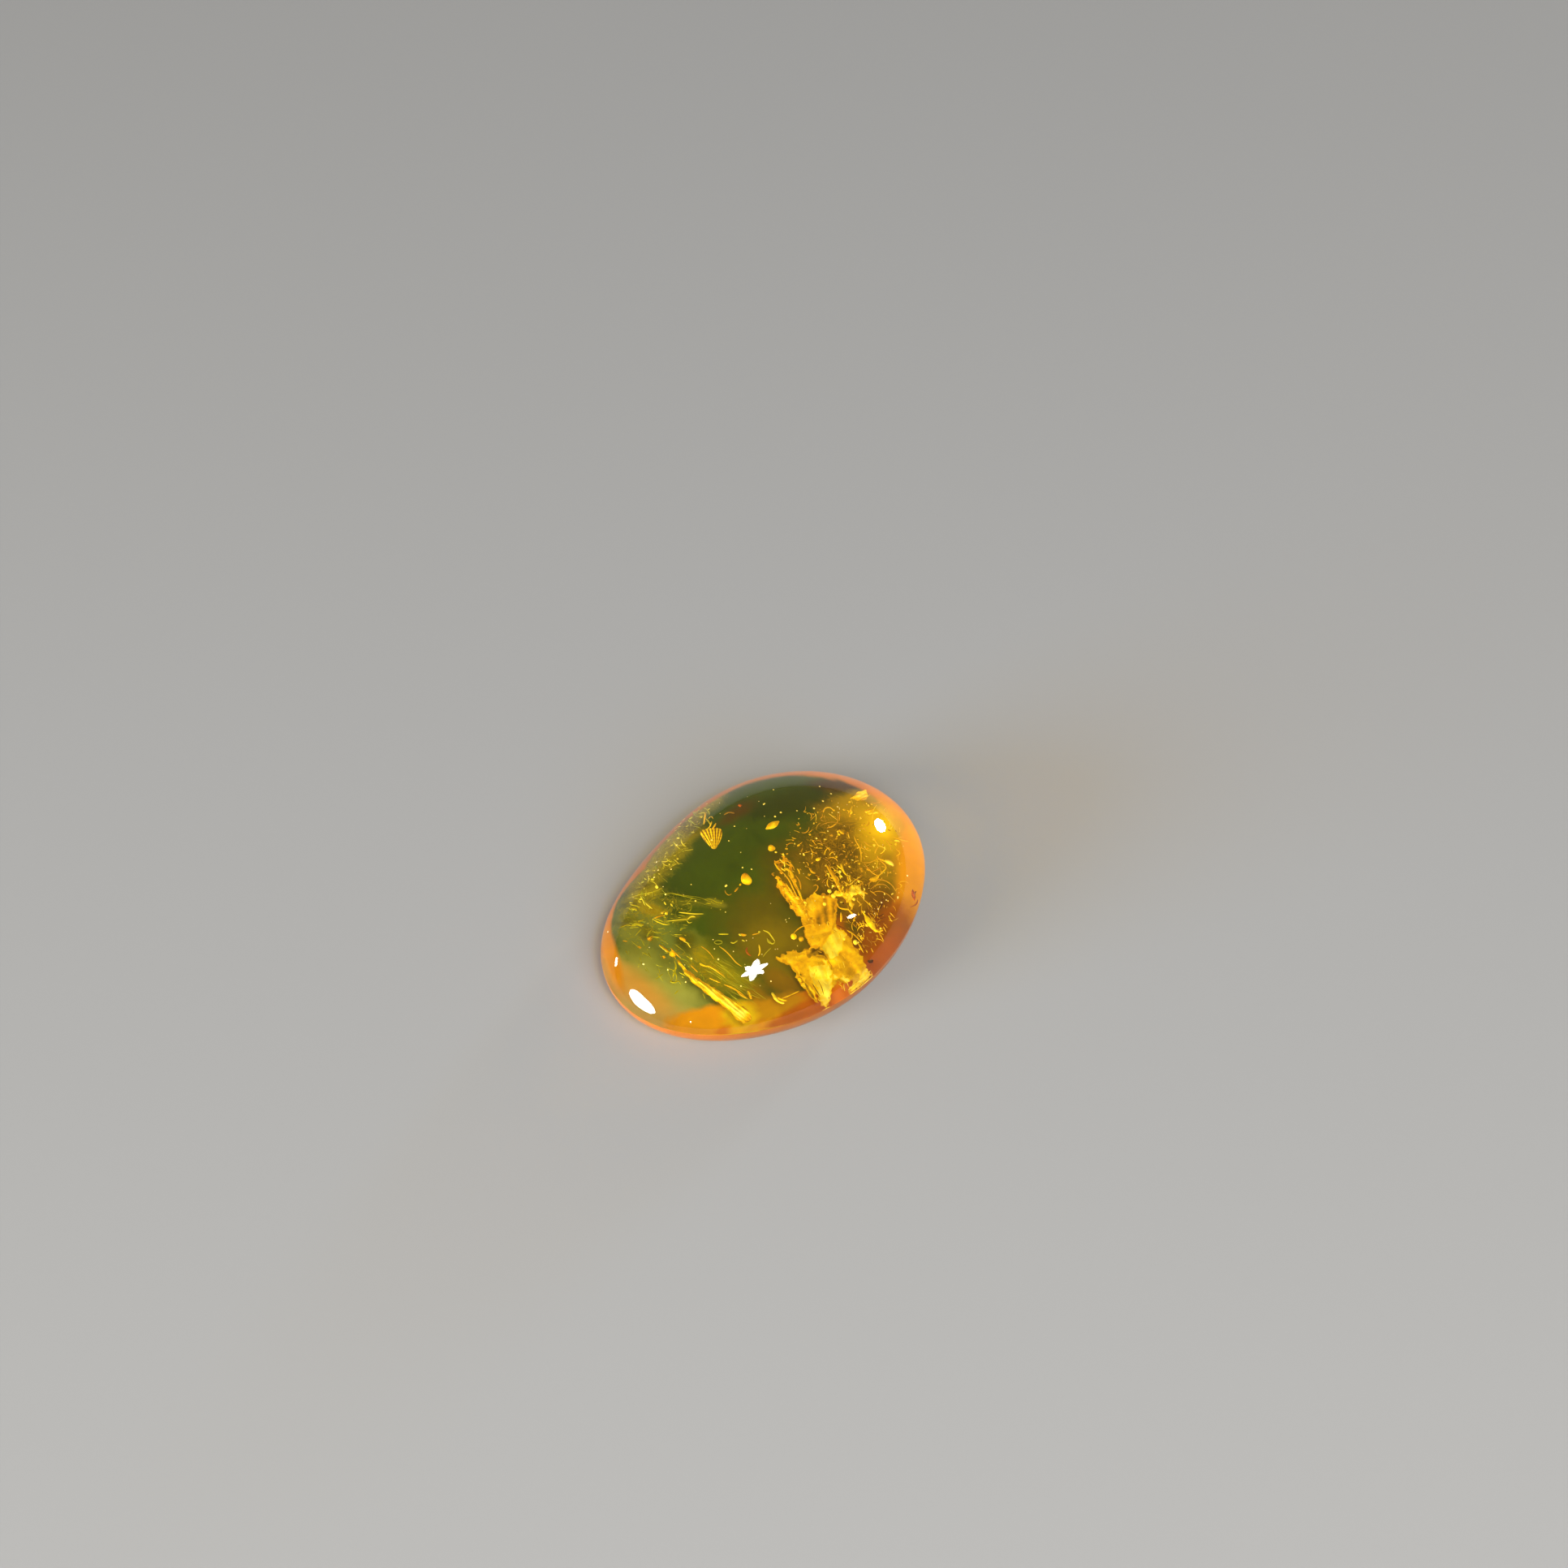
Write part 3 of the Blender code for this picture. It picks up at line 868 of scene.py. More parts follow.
CRACKLE = [(874, 984), (884, 996), (868, 1014), (851, 1030), (842, 1051), (828, 1070), (816, 1092), (811, 1106),
           (792, 1112), (772, 1116), (782, 1090), (800, 1062), (820, 1034), (845, 1006)]
LEFT_FAN = [(770, 1118), (812, 1108), (850, 1112), (862, 1124), (846, 1140), (842, 1165), (858, 1186), (880, 1216),
            (850, 1214), (820, 1205), (786, 1192), (764, 1172)]
FINE_LINES = [(858, 1180), (886, 1178), (912, 1196), (930, 1222), (905, 1232), (878, 1210)]
PLUME = [(866, 1110), (884, 1106), (896, 1112), (888, 1121), (872, 1120)]
SEAM = [(826, 1173), (835, 1182), (845, 1192), (853, 1200), (866, 1208), (882, 1218), (898, 1229), (911, 1238),
        (921, 1243), (928, 1256), (916, 1262), (906, 1256), (898, 1246), (884, 1235), (868, 1223), (853, 1211),
        (846, 1203), (838, 1191)]

# (pixels, width in mm, height in mm, tone)
PALE_STRANDS = (
    ([(812, 1101), (828, 1101), (846, 1105), (864, 1109)], 0.07, 1.6, 0.42),
    ([(824, 1099), (842, 1103), (862, 1106), (880, 1113), (893, 1117)], 0.05, 1.8, 0.40),
    ([(836, 1110), (856, 1111), (872, 1115), (888, 1118)], 0.05, 1.7, 0.36),
    ([(868, 1108), (876, 1108), (884, 1112), (892, 1112)], 0.05, 1.9, 0.45),
    ([(773, 1107), (788, 1102), (803, 1099), (816, 1094)], 0.13, 1.2, 0.62),
    ([(776, 1114), (783, 1116), (789, 1118)], 0.15, 1.4, 0.66),
    ([(795, 1112), (799, 1116), (804, 1120)], 0.14, 1.6, 0.78),
    ([(775, 1120), (780, 1120), (785, 1122)], 0.30, 1.2, 0.64),
    ([(762, 1144), (771, 1140), (779, 1140), (786, 1136), (794, 1133)], 0.14, 0.9, 0.62),
    ([(777, 1141), (784, 1138), (790, 1140), (793, 1138)], 0.28, 1.0, 0.55),
    ([(790, 1145), (786, 1149), (783, 1153)], 0.07, 1.0, 0.6),
    ([(804, 1145), (800, 1149), (797, 1154)], 0.07, 1.2, 0.6),
    ([(803, 1132), (811, 1136), (819, 1139), (826, 1139)], 0.08, 1.3, 0.7),
    ([(822, 1135), (832, 1134), (841, 1133), (848, 1133)], 0.08, 1.8, 0.75),
    ([(846, 1134), (849, 1137), (853, 1136)], 0.09, 1.8, 0.75),
    ([(847, 1133), (850, 1130), (854, 1129), (857, 1130)], 0.12, 1.8, 0.82),
    ([(836, 1124), (846, 1125), (856, 1126), (867, 1126)], 0.09, 2.0, 0.8),
    ([(818, 1111), (821, 1115)], 0.12, 2.0, 0.8),
    ([(826, 1113), (829, 1117)], 0.10, 2.0, 0.8),
    ([(842, 1160), (847, 1162), (851, 1168)], 0.08, 1.5, 0.85),
    ([(812, 1165), (817, 1169), (823, 1174)], 0.11, 1.3, 0.75),
    ([(831, 1184), (833, 1191), (831, 1198), (829, 1205)], 0.13, 1.0, 0.62),
    ([(829, 1205), (826, 1209), (831, 1211), (836, 1209), (839, 1213)], 0.11, 1.0, 0.62),
    ([(828, 1194), (832, 1199), (834, 1205), (832, 1210)], 0.09, 1.0, 0.6),
    ([(807, 1207), (812, 1204), (817, 1200)], 0.08, 0.9, 0.5),
    ([(836, 1220), (831, 1225)], 0.08, 0.9, 0.6),
    ([(866, 1224), (869, 1231)], 0.07, 0.9, 0.6),
    ([(885, 1151), (891, 1151), (898, 1151)], 0.11, 2.2, 0.6),
    ([(900, 1161), (904, 1162), (909, 1159)], 0.10, 2.2, 0.65),
    ([(910, 1151), (914, 1153)], 0.16, 2.2, 0.8),
    ([(916, 1152), (920, 1152)], 0.16, 2.2, 0.75),
    ([(914, 1158), (918, 1160)], 0.10, 2.2, 0.7),
    ([(934, 1149), (937, 1148)], 0.18, 2.4, 0.75),
    ([(940, 1146), (947, 1149), (951, 1154), (955, 1160)], 0.12, 2.2, 0.68),
    ([(955, 1160), (952, 1163), (948, 1160), (945, 1156)], 0.10, 2.2, 0.66),
    ([(945, 1156), (947, 1161), (952, 1163)], 0.10, 2.2, 0.6),
    ([(950, 1168), (945, 1173), (940, 1179)], 0.07, 2.0, 0.62),
)
GOLD_STRANDS = (
    ([(886, 1166), (893, 1171), (900, 1178), (907, 1186), (914, 1191)], 0.09, 2.4, 0.62),
    ([(862, 1187), (868, 1190), (873, 1191)], 0.14, 1.6, 0.66),
    ([(871, 1190), (876, 1192), (884, 1197), (894, 1205)], 0.17, 1.6, 0.62),
    ([(851, 1189), (855, 1193), (860, 1198)], 0.10, 1.4, 0.6),
    ([(874, 1205), (880, 1208), (888, 1211)], 0.12, 1.4, 0.62),
    ([(892, 1213), (902, 1217), (912, 1223), (920, 1230)], 0.12, 1.3, 0.55),
    ([(905, 1217), (912, 1225), (922, 1231)], 0.10, 1.3, 0.5),
    ([(921, 1221), (924, 1226), (926, 1231)], 0.28, 1.2, 0.66),
    ([(951, 1223), (954, 1228), (957, 1233)], 0.24, 0.9, 0.86),
    ([(956, 1231), (961, 1235), (967, 1236)], 0.26, 0.9, 0.84),
    ([(962, 1231), (972, 1227), (985, 1221)], 0.13, 0.8, 0.72),
    ([(958, 1229), (964, 1232), (970, 1233)], 0.14, 1.1, 0.66),
    ([(826, 1172), (829, 1175), (832, 1178)], 0.42, 1.2, 0.70),
    ([(798, 1158), (801, 1156), (804, 1154)], 0.44, 1.0, 0.45),
    ([(816, 1178), (818, 1179), (820, 1180)], 0.30, 1.0, 0.60),
    ([(837, 1155), (841, 1157), (845, 1159)], 0.26, 1.5, 0.52),
    ([(767, 1159), (773, 1160)], 0.10, 0.8, 0.55),
    ([(785, 1166), (790, 1168)], 0.14, 0.8, 0.55),
    ([(815, 1124), (817, 1126)], 0.28, 1.8, 0.9),
    ([(820, 1124), (822, 1127)], 0.26, 1.8, 0.85),
    ([(805, 1132), (812, 1129), (820, 1128)], 0.10, 1.8, 0.45),
    ([(869, 1001), (868, 1008), (867, 1016)], 0.16, 3.6, 0.62),
    ([(873, 1009), (876, 1006), (879, 1009)], 0.09, 3.9, 0.6),
    ([(871, 1022), (875, 1018), (877, 1012)], 0.13, 3.9, 0.66),
    ([(877, 1022), (880, 1018), (882, 1014)], 0.13, 4.0, 0.66),
    ([(892, 1004), (898, 1001), (905, 1002)], 0.16, 3.0, 0.30),
    ([(893, 1096), (894, 1100), (898, 1103), (902, 1101)], 0.09, 2.2, 0.30),
    ([(905, 1099), (908, 1096), (910, 1093)], 0.16, 2.3, 0.45),
    ([(911, 1091), (913, 1089)], 0.20, 2.4, 0.60),
    ([(935, 1164), (936, 1169), (936, 1174), (934, 1178)], 0.13, 2.2, 0.80),
    ([(927, 1152), (931, 1151), (936, 1150)], 0.10, 2.2, 0.55),
    ([(912, 1151), (916, 1152), (920, 1152)], 0.14, 2.2, 0.50),
    ([(864, 1166), (870, 1170), (876, 1176), (880, 1182)], 0.06, 1.8, 0.45),
    ([(812, 1164), (820, 1170), (827, 1175)], 0.14, 1.2, 0.55),
    ([(826, 1168), (832, 1174), (838, 1180)], 0.08, 1.4, 0.50),
)
# (pixels, width, height, tone) of the rust-brown slivers
RUST_STRANDS = (
    ([(921, 1167), (920, 1171), (922, 1175), (926, 1178)], 0.14, 2.2, 0.5),
    ([(1129, 1098), (1127, 1102), (1128, 1106)], 0.16, 2.0, 0.4),
    ([(1131, 1108), (1130, 1112), (1127, 1115), (1121, 1118)], 0.12, 2.0, 0.5),
    ([(910, 991), (912, 993), (914, 992)], 0.20, 3.0, 0.8),
    ([(1069, 1184), (1073, 1184), (1076, 1183)], 0.26, 1.2, 0.0),
    ([(1075, 1119), (1077, 1126), (1083, 1129), (1089, 1126)], 0.10, 2.0, 0.1),
    ([(1071, 1118), (1073, 1128), (1081, 1133), (1091, 1130)], 0.08, 2.0, 0.2),
    ([(1068, 1120), (1070, 1131), (1079, 1137), (1090, 1135)], 0.07, 2.0, 0.3),
    ([(1033, 1112), (1034, 1108), (1038, 1107), (1042, 1110), (1041, 1115)], 0.07, 2.4, 0.3),
    ([(1036, 1111), (1038, 1112), (1040, 1114)], 0.20, 2.3, 0.0),
    ([(1018, 1179), (1022, 1186), (1026, 1192)], 0.05, 1.8, 0.3),
    ([(1008, 1208), (1012, 1216), (1015, 1226)], 0.06, 1.6, 0.3),
    ([(1000, 1211), (1005, 1219), (1010, 1227)], 0.07, 1.6, 0.2),
    ([(1031, 1140), (1038, 1143), (1045, 1148)], 0.08, 1.9, 0.2),
)


def make_left_cracks():
    flecks = Flecks(11)
    for pixels, width, height, tone in PALE_STRANDS:
        flecks.strand(pixels, width, height, tone)
    for across, down in flecks.scatter(CRACKLE, 60):
        heading = flecks.random.gauss(-20, 40)
        length, width = flecks.random.uniform(5, 16), flecks.random.uniform(0.05, 0.12)
        height, tone = flecks.random.uniform(1.5, 3.0), flecks.random.uniform(0.35, 0.80)
        flecks.stroke(across, down, heading, length, width, height, tone, flecks.random.gauss(0, 5))
    for across, down in flecks.scatter(CRACKLE, 80):
        flecks.flake(across, down, flecks.random.uniform(0.12, 0.42), flecks.random.uniform(1.2, 3.0),
                     flecks.random.uniform(0.25, 0.85))
    for across, down in flecks.scatter(LEFT_FAN, 80):
        fan = math.degrees(math.atan2(1135 - down, across - 745))
        heading = flecks.random.gauss(fan, 20)
        length, width = flecks.random.uniform(4, 16), flecks.random.uniform(0.03, 0.07)
        height, tone = flecks.random.uniform(0.7, 2.4), flecks.random.uniform(0.30, 0.62)
        flecks.stroke(across, down, heading, length, width, height, tone, flecks.random.gauss(0, 3))
    for across, down in flecks.scatter(FINE_LINES, 48):
        heading = flecks.random.gauss(-33, 5)
        length, width = flecks.random.uniform(10, 34), flecks.random.uniform(0.015, 0.045)
        height, tone = flecks.random.uniform(0.9, 2.2), flecks.random.uniform(0.30, 0.58)
        flecks.stroke(across, down, heading, length, width, height, tone)
    for across, down in flecks.scatter(PLUME, 14) + flecks.scatter(LEFT_FAN, 60):
        flecks.flake(across, down, flecks.random.uniform(0.06, 0.16), flecks.random.uniform(0.8, 2.4),
                     flecks.random.uniform(0.4, 0.75))
    ring = [(885 + 5 * math.cos(math.tau * k / 16), 1161 + 2.2 * math.sin(math.tau * k / 16)) for k in range(17)]
    flecks.thread(ring, 0.05, 2.3, 0.5, taper=0.0)
    flecks.finish("left_cracks", green_gold_material())


def make_seam():
    flecks = Flecks(29)
    for pixels, width, height, tone in GOLD_STRANDS:
        flecks.strand(pixels, width, height, tone)

    def seam_surface(across, down, depth):
        # Painted highlight and shade: the tone rises with the seam's height, so its crests are paler and its hollows
        # darker.
        grain = streaks(across, down, -38, 26, 3.0, 5.0)
        return 1.1 + 0.35 * grain + 0.05 * depth, 0.56 + 0.07 * depth + 0.16 * grain

    flecks.sheet(SEAM, 0.7, seam_surface, ragged=1.2, torn=6.0)
    flecks.finish("golden_seam", gold_material("seam_gold"))


# ---------------------------------------------------------------- cracks in the right part

GOLD_MASS = [(953, 1077), (962, 1083), (972, 1096), (984, 1106), (993, 1110), (1001, 1103), (1012, 1101), (1022, 1102),
             (1031, 1106), (1033, 1116), (1030, 1128), (1030, 1138), (1037, 1144), (1046, 1153), (1054, 1166),
             (1064, 1182), (1067, 1193), (1074, 1202), (1066, 1210), (1056, 1218), (1047, 1225), (1045, 1219),
             (1050, 1210), (1034, 1210), (1026, 1214), (1024, 1226),
             (1020, 1238), (1013, 1238), (1004, 1226), (992, 1212), (984, 1200), (975, 1192), (966, 1187), (955, 1181),
             (966, 1175), (977, 1170), (988, 1172), (996, 1166), (993, 1155), (988, 1143), (987, 1131), (976, 1120),
             (966, 1106), (958, 1092)]
BURST = [(1025, 1101), (1034, 1098), (1040, 1100), (1044, 1095), (1050, 1091), (1058, 1088), (1061, 1094), (1066, 1099),
         (1068, 1107), (1063, 1105), (1056, 1101), (1052, 1105), (1050, 1111), (1052, 1118), (1048, 1121),
         (1044, 1113), (1039, 1106), (1031, 1106)]
TOP_LOOP = [(953, 1060), (962, 1056), (976, 1060), (982, 1072), (980, 1086), (968, 1084), (958, 1074)]
YELLOW_PATCH = [(1048, 984), (1056, 976), (1066, 973), (1071, 980), (1068, 987), (1058, 987)]
NEAR_GLOW = [(1066, 999), (1072, 996), (1080, 997), (1085, 1003), (1076, 1003), (1070, 1004)]
RIGHT_FIELD = [(985, 1002), (1030, 985), (1072, 984), (1104, 1010), (1116, 1050), (1110, 1092), (1102, 1122),
               (1080, 1160), (1052, 1176), (1045, 1145), (1030, 1100), (984, 1080), (960, 1050)]
BRIGHT_KNOTS = [(1016, 1066), (1030, 1060), (1046, 1072), (1058, 1084), (1066, 1098), (1056, 1110), (1044, 1106),
                (1030, 1096), (1020, 1084)]
LOWER_RIGHT = [(1046, 1120), (1090, 1112), (1100, 1125), (1082, 1160), (1068, 1176), (1056, 1156)]

ROPE = [(954, 1076), (966, 1086), (978, 1100), (992, 1112), (1003, 1136), (994, 1142), (982, 1126), (964, 1102)]
MASS_TONE = 0.68
# The plates of the golden mass: (outline, height in mm, tone, heading of the grain in degrees, strength of the grain)
GOLD_PLATES = (
    ([(954, 1076), (960, 1080), (966, 1088), (972, 1099), (982, 1108), (992, 1116), (1000, 1128), (1004, 1142),
      (994, 1141), (985, 1128), (975, 1117), (965, 1104), (958, 1091)], 1.55, 0.60, -55, 0.36),
    ([(992, 1110), (1003, 1099), (1012, 1104), (1024, 1105), (1031, 1109), (1029, 1126), (1027, 1142), (1008, 1141),
      (999, 1131), (995, 1119)], 1.40, 0.56, -80, 0.36),
    ([(988, 1132), (1002, 1139), (1018, 1135), (1028, 1142), (1022, 1153), (1012, 1160), (999, 1167), (995, 1157),
      (991, 1146)], 1.35, 0.64, 15, 0.04),
    ([(1027, 1139), (1036, 1144), (1043, 1152), (1039, 1168), (1029, 1183), (1017, 1184), (1009, 1172), (1016, 1160),
      (1023, 1150)], 1.45, 0.95, -65, 0.06),
    ([(1034, 1160), (1044, 1160), (1053, 1170), (1063, 1183), (1067, 1190), (1060, 1199), (1048, 1204), (1034, 1207),
      (1019, 1202), (1017, 1188), (1026, 1179)], 1.30, 0.66, -40, 0.16),
    ([(993, 1173), (1001, 1166), (1010, 1166), (1019, 1174), (1022, 1184), (1012, 1179), (1003, 1178), (995, 1182)],
     1.62, 0.02, 30, 0.45),
    ([(956, 1180), (966, 1177), (977, 1171), (986, 1175), (994, 1171), (1000, 1179), (1013, 1179), (1016, 1189),
      (1002, 1191), (993, 1191), (983, 1186), (977, 1193), (969, 1186)], 1.30, 0.70, 10, 0.14),
    ([(993, 1187), (1006, 1181), (1019, 1181), (1027, 1196), (1027, 1212), (1025, 1226), (1021, 1239), (1013, 1239),
      (1007, 1226), (1001, 1212), (996, 1202)], 1.25, 0.90, -72, 0.07),
    ([(1027, 1200), (1036, 1203), (1049, 1206), (1049, 1212), (1036, 1209), (1028, 1206)], 1.55, 1.00, -10, 0.08),
    ([(975, 1189), (982, 1192), (991, 1204), (1001, 1220), (1011, 1238), (1003, 1234), (990, 1218), (980, 1202)],
     1.35, 0.50, -55, 0.34),
    ([(982, 1203), (988, 1206), (994, 1217), (987, 1217)], 1.50, 0.92, -60, 0.08),
    ([(1059, 1185), (1067, 1192), (1075, 1202), (1067, 1211), (1056, 1219), (1047, 1226), (1049, 1219), (1055, 1211),
      (1058, 1203), (1055, 1196)], 1.20, 0.80, 38, 0.10),
)
RIGHT_STRANDS = (
    ([(1076, 1203), (1069, 1211), (1059, 1219), (1048, 1227)], 0.26, 1.15, 0.84),
    ([(1040, 1212), (1040, 1216), (1041, 1221)], 0.12, 1.3, 0.80),
    ([(1033, 1212), (1037, 1215), (1038, 1219)], 0.10, 1.3, 0.70),
    ([(954, 1063), (959, 1070), (965, 1076)], 0.13, 2.2, 0.72),
    ([(955, 1062), (962, 1060), (970, 1061), (976, 1066), (979, 1072)], 0.09, 2.2, 0.55),
    ([(966, 1070), (972, 1072), (976, 1078), (977, 1085)], 0.22, 2.0, 0.72),
    ([(982, 1070), (984, 1073), (985, 1077)], 0.16, 2.2, 0.66),
    ([(977, 1088), (981, 1094), (985, 1099)], 0.10, 2.0, 0.55),
    ([(997, 1070), (1001, 1075), (1005, 1076)], 0.14, 2.4, 0.66),
    ([(1005, 1060), (1008, 1059), (1011, 1057)], 0.22, 2.6, 0.76),
    ([(1018, 1066), (1023, 1074), (1028, 1082), (1032, 1090), (1036, 1099)], 0.34, 2.4, 0.62),
    ([(1036, 1064), (1038, 1071), (1041, 1076), (1044, 1079)], 0.16, 2.6, 0.72),
    ([(1044, 1080), (1046, 1086)], 0.14, 2.4, 0.7),
    ([(1000, 1034), (1003, 1038), (1006, 1042)], 0.08, 3.0, 0.6),
    ([(964, 1074), (972, 1084), (978, 1096), (983, 1106)], 0.10, 2.1, 0.62),
    ([(972, 1078), (979, 1088), (985, 1100), (989, 1110)], 0.16, 2.0, 0.70),
    ([(980, 1078), (985, 1086), (987, 1096)], 0.10, 2.2, 0.50),
    ([(968, 1088), (974, 1097), (979, 1106)], 0.12, 2.0, 0.80),
    ([(1002, 1092), (1005, 1090), (1008, 1092), (1007, 1096), (1004, 1099)], 0.08, 2.2, 0.5),
    ([(1031, 1112), (1034, 1118), (1040, 1120), (1046, 1121), (1052, 1128), (1053, 1133)], 0.12, 2.4, 0.60),
    ([(1052, 1030), (1055, 1037), (1059, 1044), (1061, 1052), (1061, 1062)], 0.09, 3.0, 0.62),
    ([(1075, 1031), (1079, 1037), (1083, 1042), (1088, 1044), (1092, 1047)], 0.14, 2.8, 0.76),
    ([(1083, 1042), (1080, 1047), (1078, 1052)], 0.10, 2.8, 0.66),
    ([(1080, 1054), (1083, 1058), (1088, 1060), (1091, 1062)], 0.20, 2.4, 0.72),
    ([(1089, 1061), (1094, 1062), (1099, 1065), (1101, 1067)], 0.42, 2.4, 0.95),
    ([(1084, 1060), (1089, 1064), (1092, 1069), (1087, 1075), (1082, 1080)], 0.13, 2.4, 0.62),
    ([(1083, 1078), (1078, 1083), (1071, 1084)], 0.34, 2.0, 0.66),
    ([(1065, 1064), (1070, 1070), (1076, 1076), (1082, 1079)], 0.10, 2.2, 0.55),
    ([(1068, 1090), (1078, 1084), (1090, 1085), (1099, 1091), (1105, 1100)], 0.12, 1.8, 0.5),
    ([(1072, 1096), (1080, 1090), (1090, 1090), (1097, 1096)], 0.07, 1.8, 0.42),
    ([(1102, 1036), (1106, 1036), (1109, 1037)], 0.28, 2.0, 0.86),
    ([(1099, 1031), (1108, 1034), (1120, 1037)], 0.07, 2.0, 0.6),
    ([(1104, 1046), (1109, 1051), (1104, 1055)], 0.10, 2.0, 0.6),
    ([(1107, 1088), (1111, 1091), (1109, 1094)], 0.12, 1.6, 0.6),
    ([(1014, 1001), (1017, 996), (1022, 995), (1027, 998)], 0.14, 4.0, 0.66),
    ([(1048, 996), (1049, 1001), (1047, 1004)], 0.22, 3.6, 0.72),
    ([(1060, 1006), (1061, 1009)], 0.22, 3.4, 0.86),
    ([(1064, 1086), (1059, 1092), (1054, 1100)], 0.10, 2.2, 0.5),
    ([(1072, 1128), (1076, 1136), (1080, 1146), (1089, 1152)], 0.13, 1.8, 0.62),
    ([(1036, 1124), (1037, 1130), (1036, 1136)], 0.18, 2.0, 0.66),
    ([(1041, 1145), (1050, 1150), (1057, 1156), (1062, 1162)], 0.11, 1.6, 0.6),
    ([(1056, 1160), (1060, 1167), (1064, 1174)], 0.12, 1.4, 0.66),
    ([(978, 1150), (983, 1145), (990, 1141), (1003, 1138)], 0.08, 2.0, 0.56),
    ([(1062, 1062), (1070, 1063), (1078, 1060), (1084, 1056)], 0.06, 2.6, 0.50),
    ([(1074, 1100), (1084, 1098), (1094, 1102), (1102, 1110)], 0.07, 1.8, 0.45),
    ([(1010, 1018), (1018, 1014), (1028, 1013), (1038, 1016)], 0.05, 3.4, 0.45),
    ([(1021, 1020), (1026, 1018), (1031, 1014)], 0.10, 3.4, 0.60),
    ([(1034, 1022), (1037, 1026), (1040, 1028)], 0.18, 3.2, 0.62),
    ([(1045, 1002), (1048, 998), (1050, 993)], 0.12, 3.4, 0.70),
)
# (pixel, diameter in mm, height, tone) of the golden drops by the left edge of the mass
GOLD_BEADS = (
    ((978, 1154), 0.42, 2.4, 0.80),
    ((987, 1157), 0.34, 2.2, 0.50),
    ((1027, 1104), 0.34, 2.8, 0.98),
    ((1016, 1114), 0.26, 2.8, 0.98),
    ((1015, 1105), 0.16, 2.8, 0.90),
    ((1054, 1161), 0.36, 1.8, 0.98),
    ((1040, 1157), 0.22, 1.8, 0.90),
    ((956, 1050), 0.16, 3.2, 0.95),
    ((965, 1053), 0.16, 3.0, 0.9),
    ((950, 1044), 0.40, 3.0, 0.62),
    ((1009, 1083), 0.14, 3.0, 0.95),
    ((1035, 1074), 0.20, 3.2, 0.98),
    ((1022, 1098), 0.30, 3.0, 0.96),
    ((1052, 1108), 0.24, 2.6, 0.96),
    ((1058, 1086), 0.20, 2.8, 0.90),
    ((1068, 1140), 0.22, 2.0, 0.90),
    ((1085, 1144), 0.18, 2.0, 0.85),
)


def make_right_cracks():
    flecks = Flecks(23)
    for pixels, width, height, tone in RIGHT_STRANDS:
        flecks.strand(pixels, width, height, tone)
    for across, down in flecks.scatter(RIGHT_FIELD, 190):
        swirl = 60 + waves(across, down, 34, 4.0) * 150
        heading = flecks.random.gauss(swirl, 20)
        length, width = flecks.random.uniform(4, 18), flecks.random.uniform(0.02, 0.08)
        height, tone = flecks.random.uniform(1.0, 4.0), flecks.random.uniform(0.36, 0.86)
        flecks.stroke(across, down, heading, length, width, height, tone, flecks.random.gauss(0, 7))
    for across, down in flecks.scatter(RIGHT_FIELD, 220):
        flecks.flake(across, down, flecks.random.uniform(0.08, 0.30), flecks.random.uniform(1.0, 4.0),
                     flecks.random.uniform(0.35, 1.0))
    for across, down in flecks.scatter(BRIGHT_KNOTS, 30):
        flecks.flake(across, down, flecks.random.uniform(0.08, 0.24), flecks.random.uniform(1.4, 3.2),
                     flecks.random.uniform(0.7, 1.0))
    for across, down in flecks.scatter(BRIGHT_KNOTS, 44) + flecks.scatter(TOP_LOOP, 14):
        heading = flecks.random.gauss(-58, 26)
        length, width = flecks.random.uniform(4, 12), flecks.random.uniform(0.03, 0.12)
        height, tone = flecks.random.uniform(1.4, 3.2), flecks.random.uniform(0.55, 1.0)
        flecks.stroke(across, down, heading, length, width, height, tone, flecks.random.gauss(0, 5))
    for across, down in flecks.scatter(LOWER_RIGHT, 45):
        heading = flecks.random.gauss(-60, 12)
        length, width = flecks.random.uniform(4, 12), flecks.random.uniform(0.05, 0.12)
        height, tone = flecks.random.uniform(1.0, 2.4), flecks.random.uniform(0.4, 0.8)
        flecks.stroke(across, down, heading, length, width, height, tone)
    flecks.finish("right_cracks", gold_material("gold_threads"))


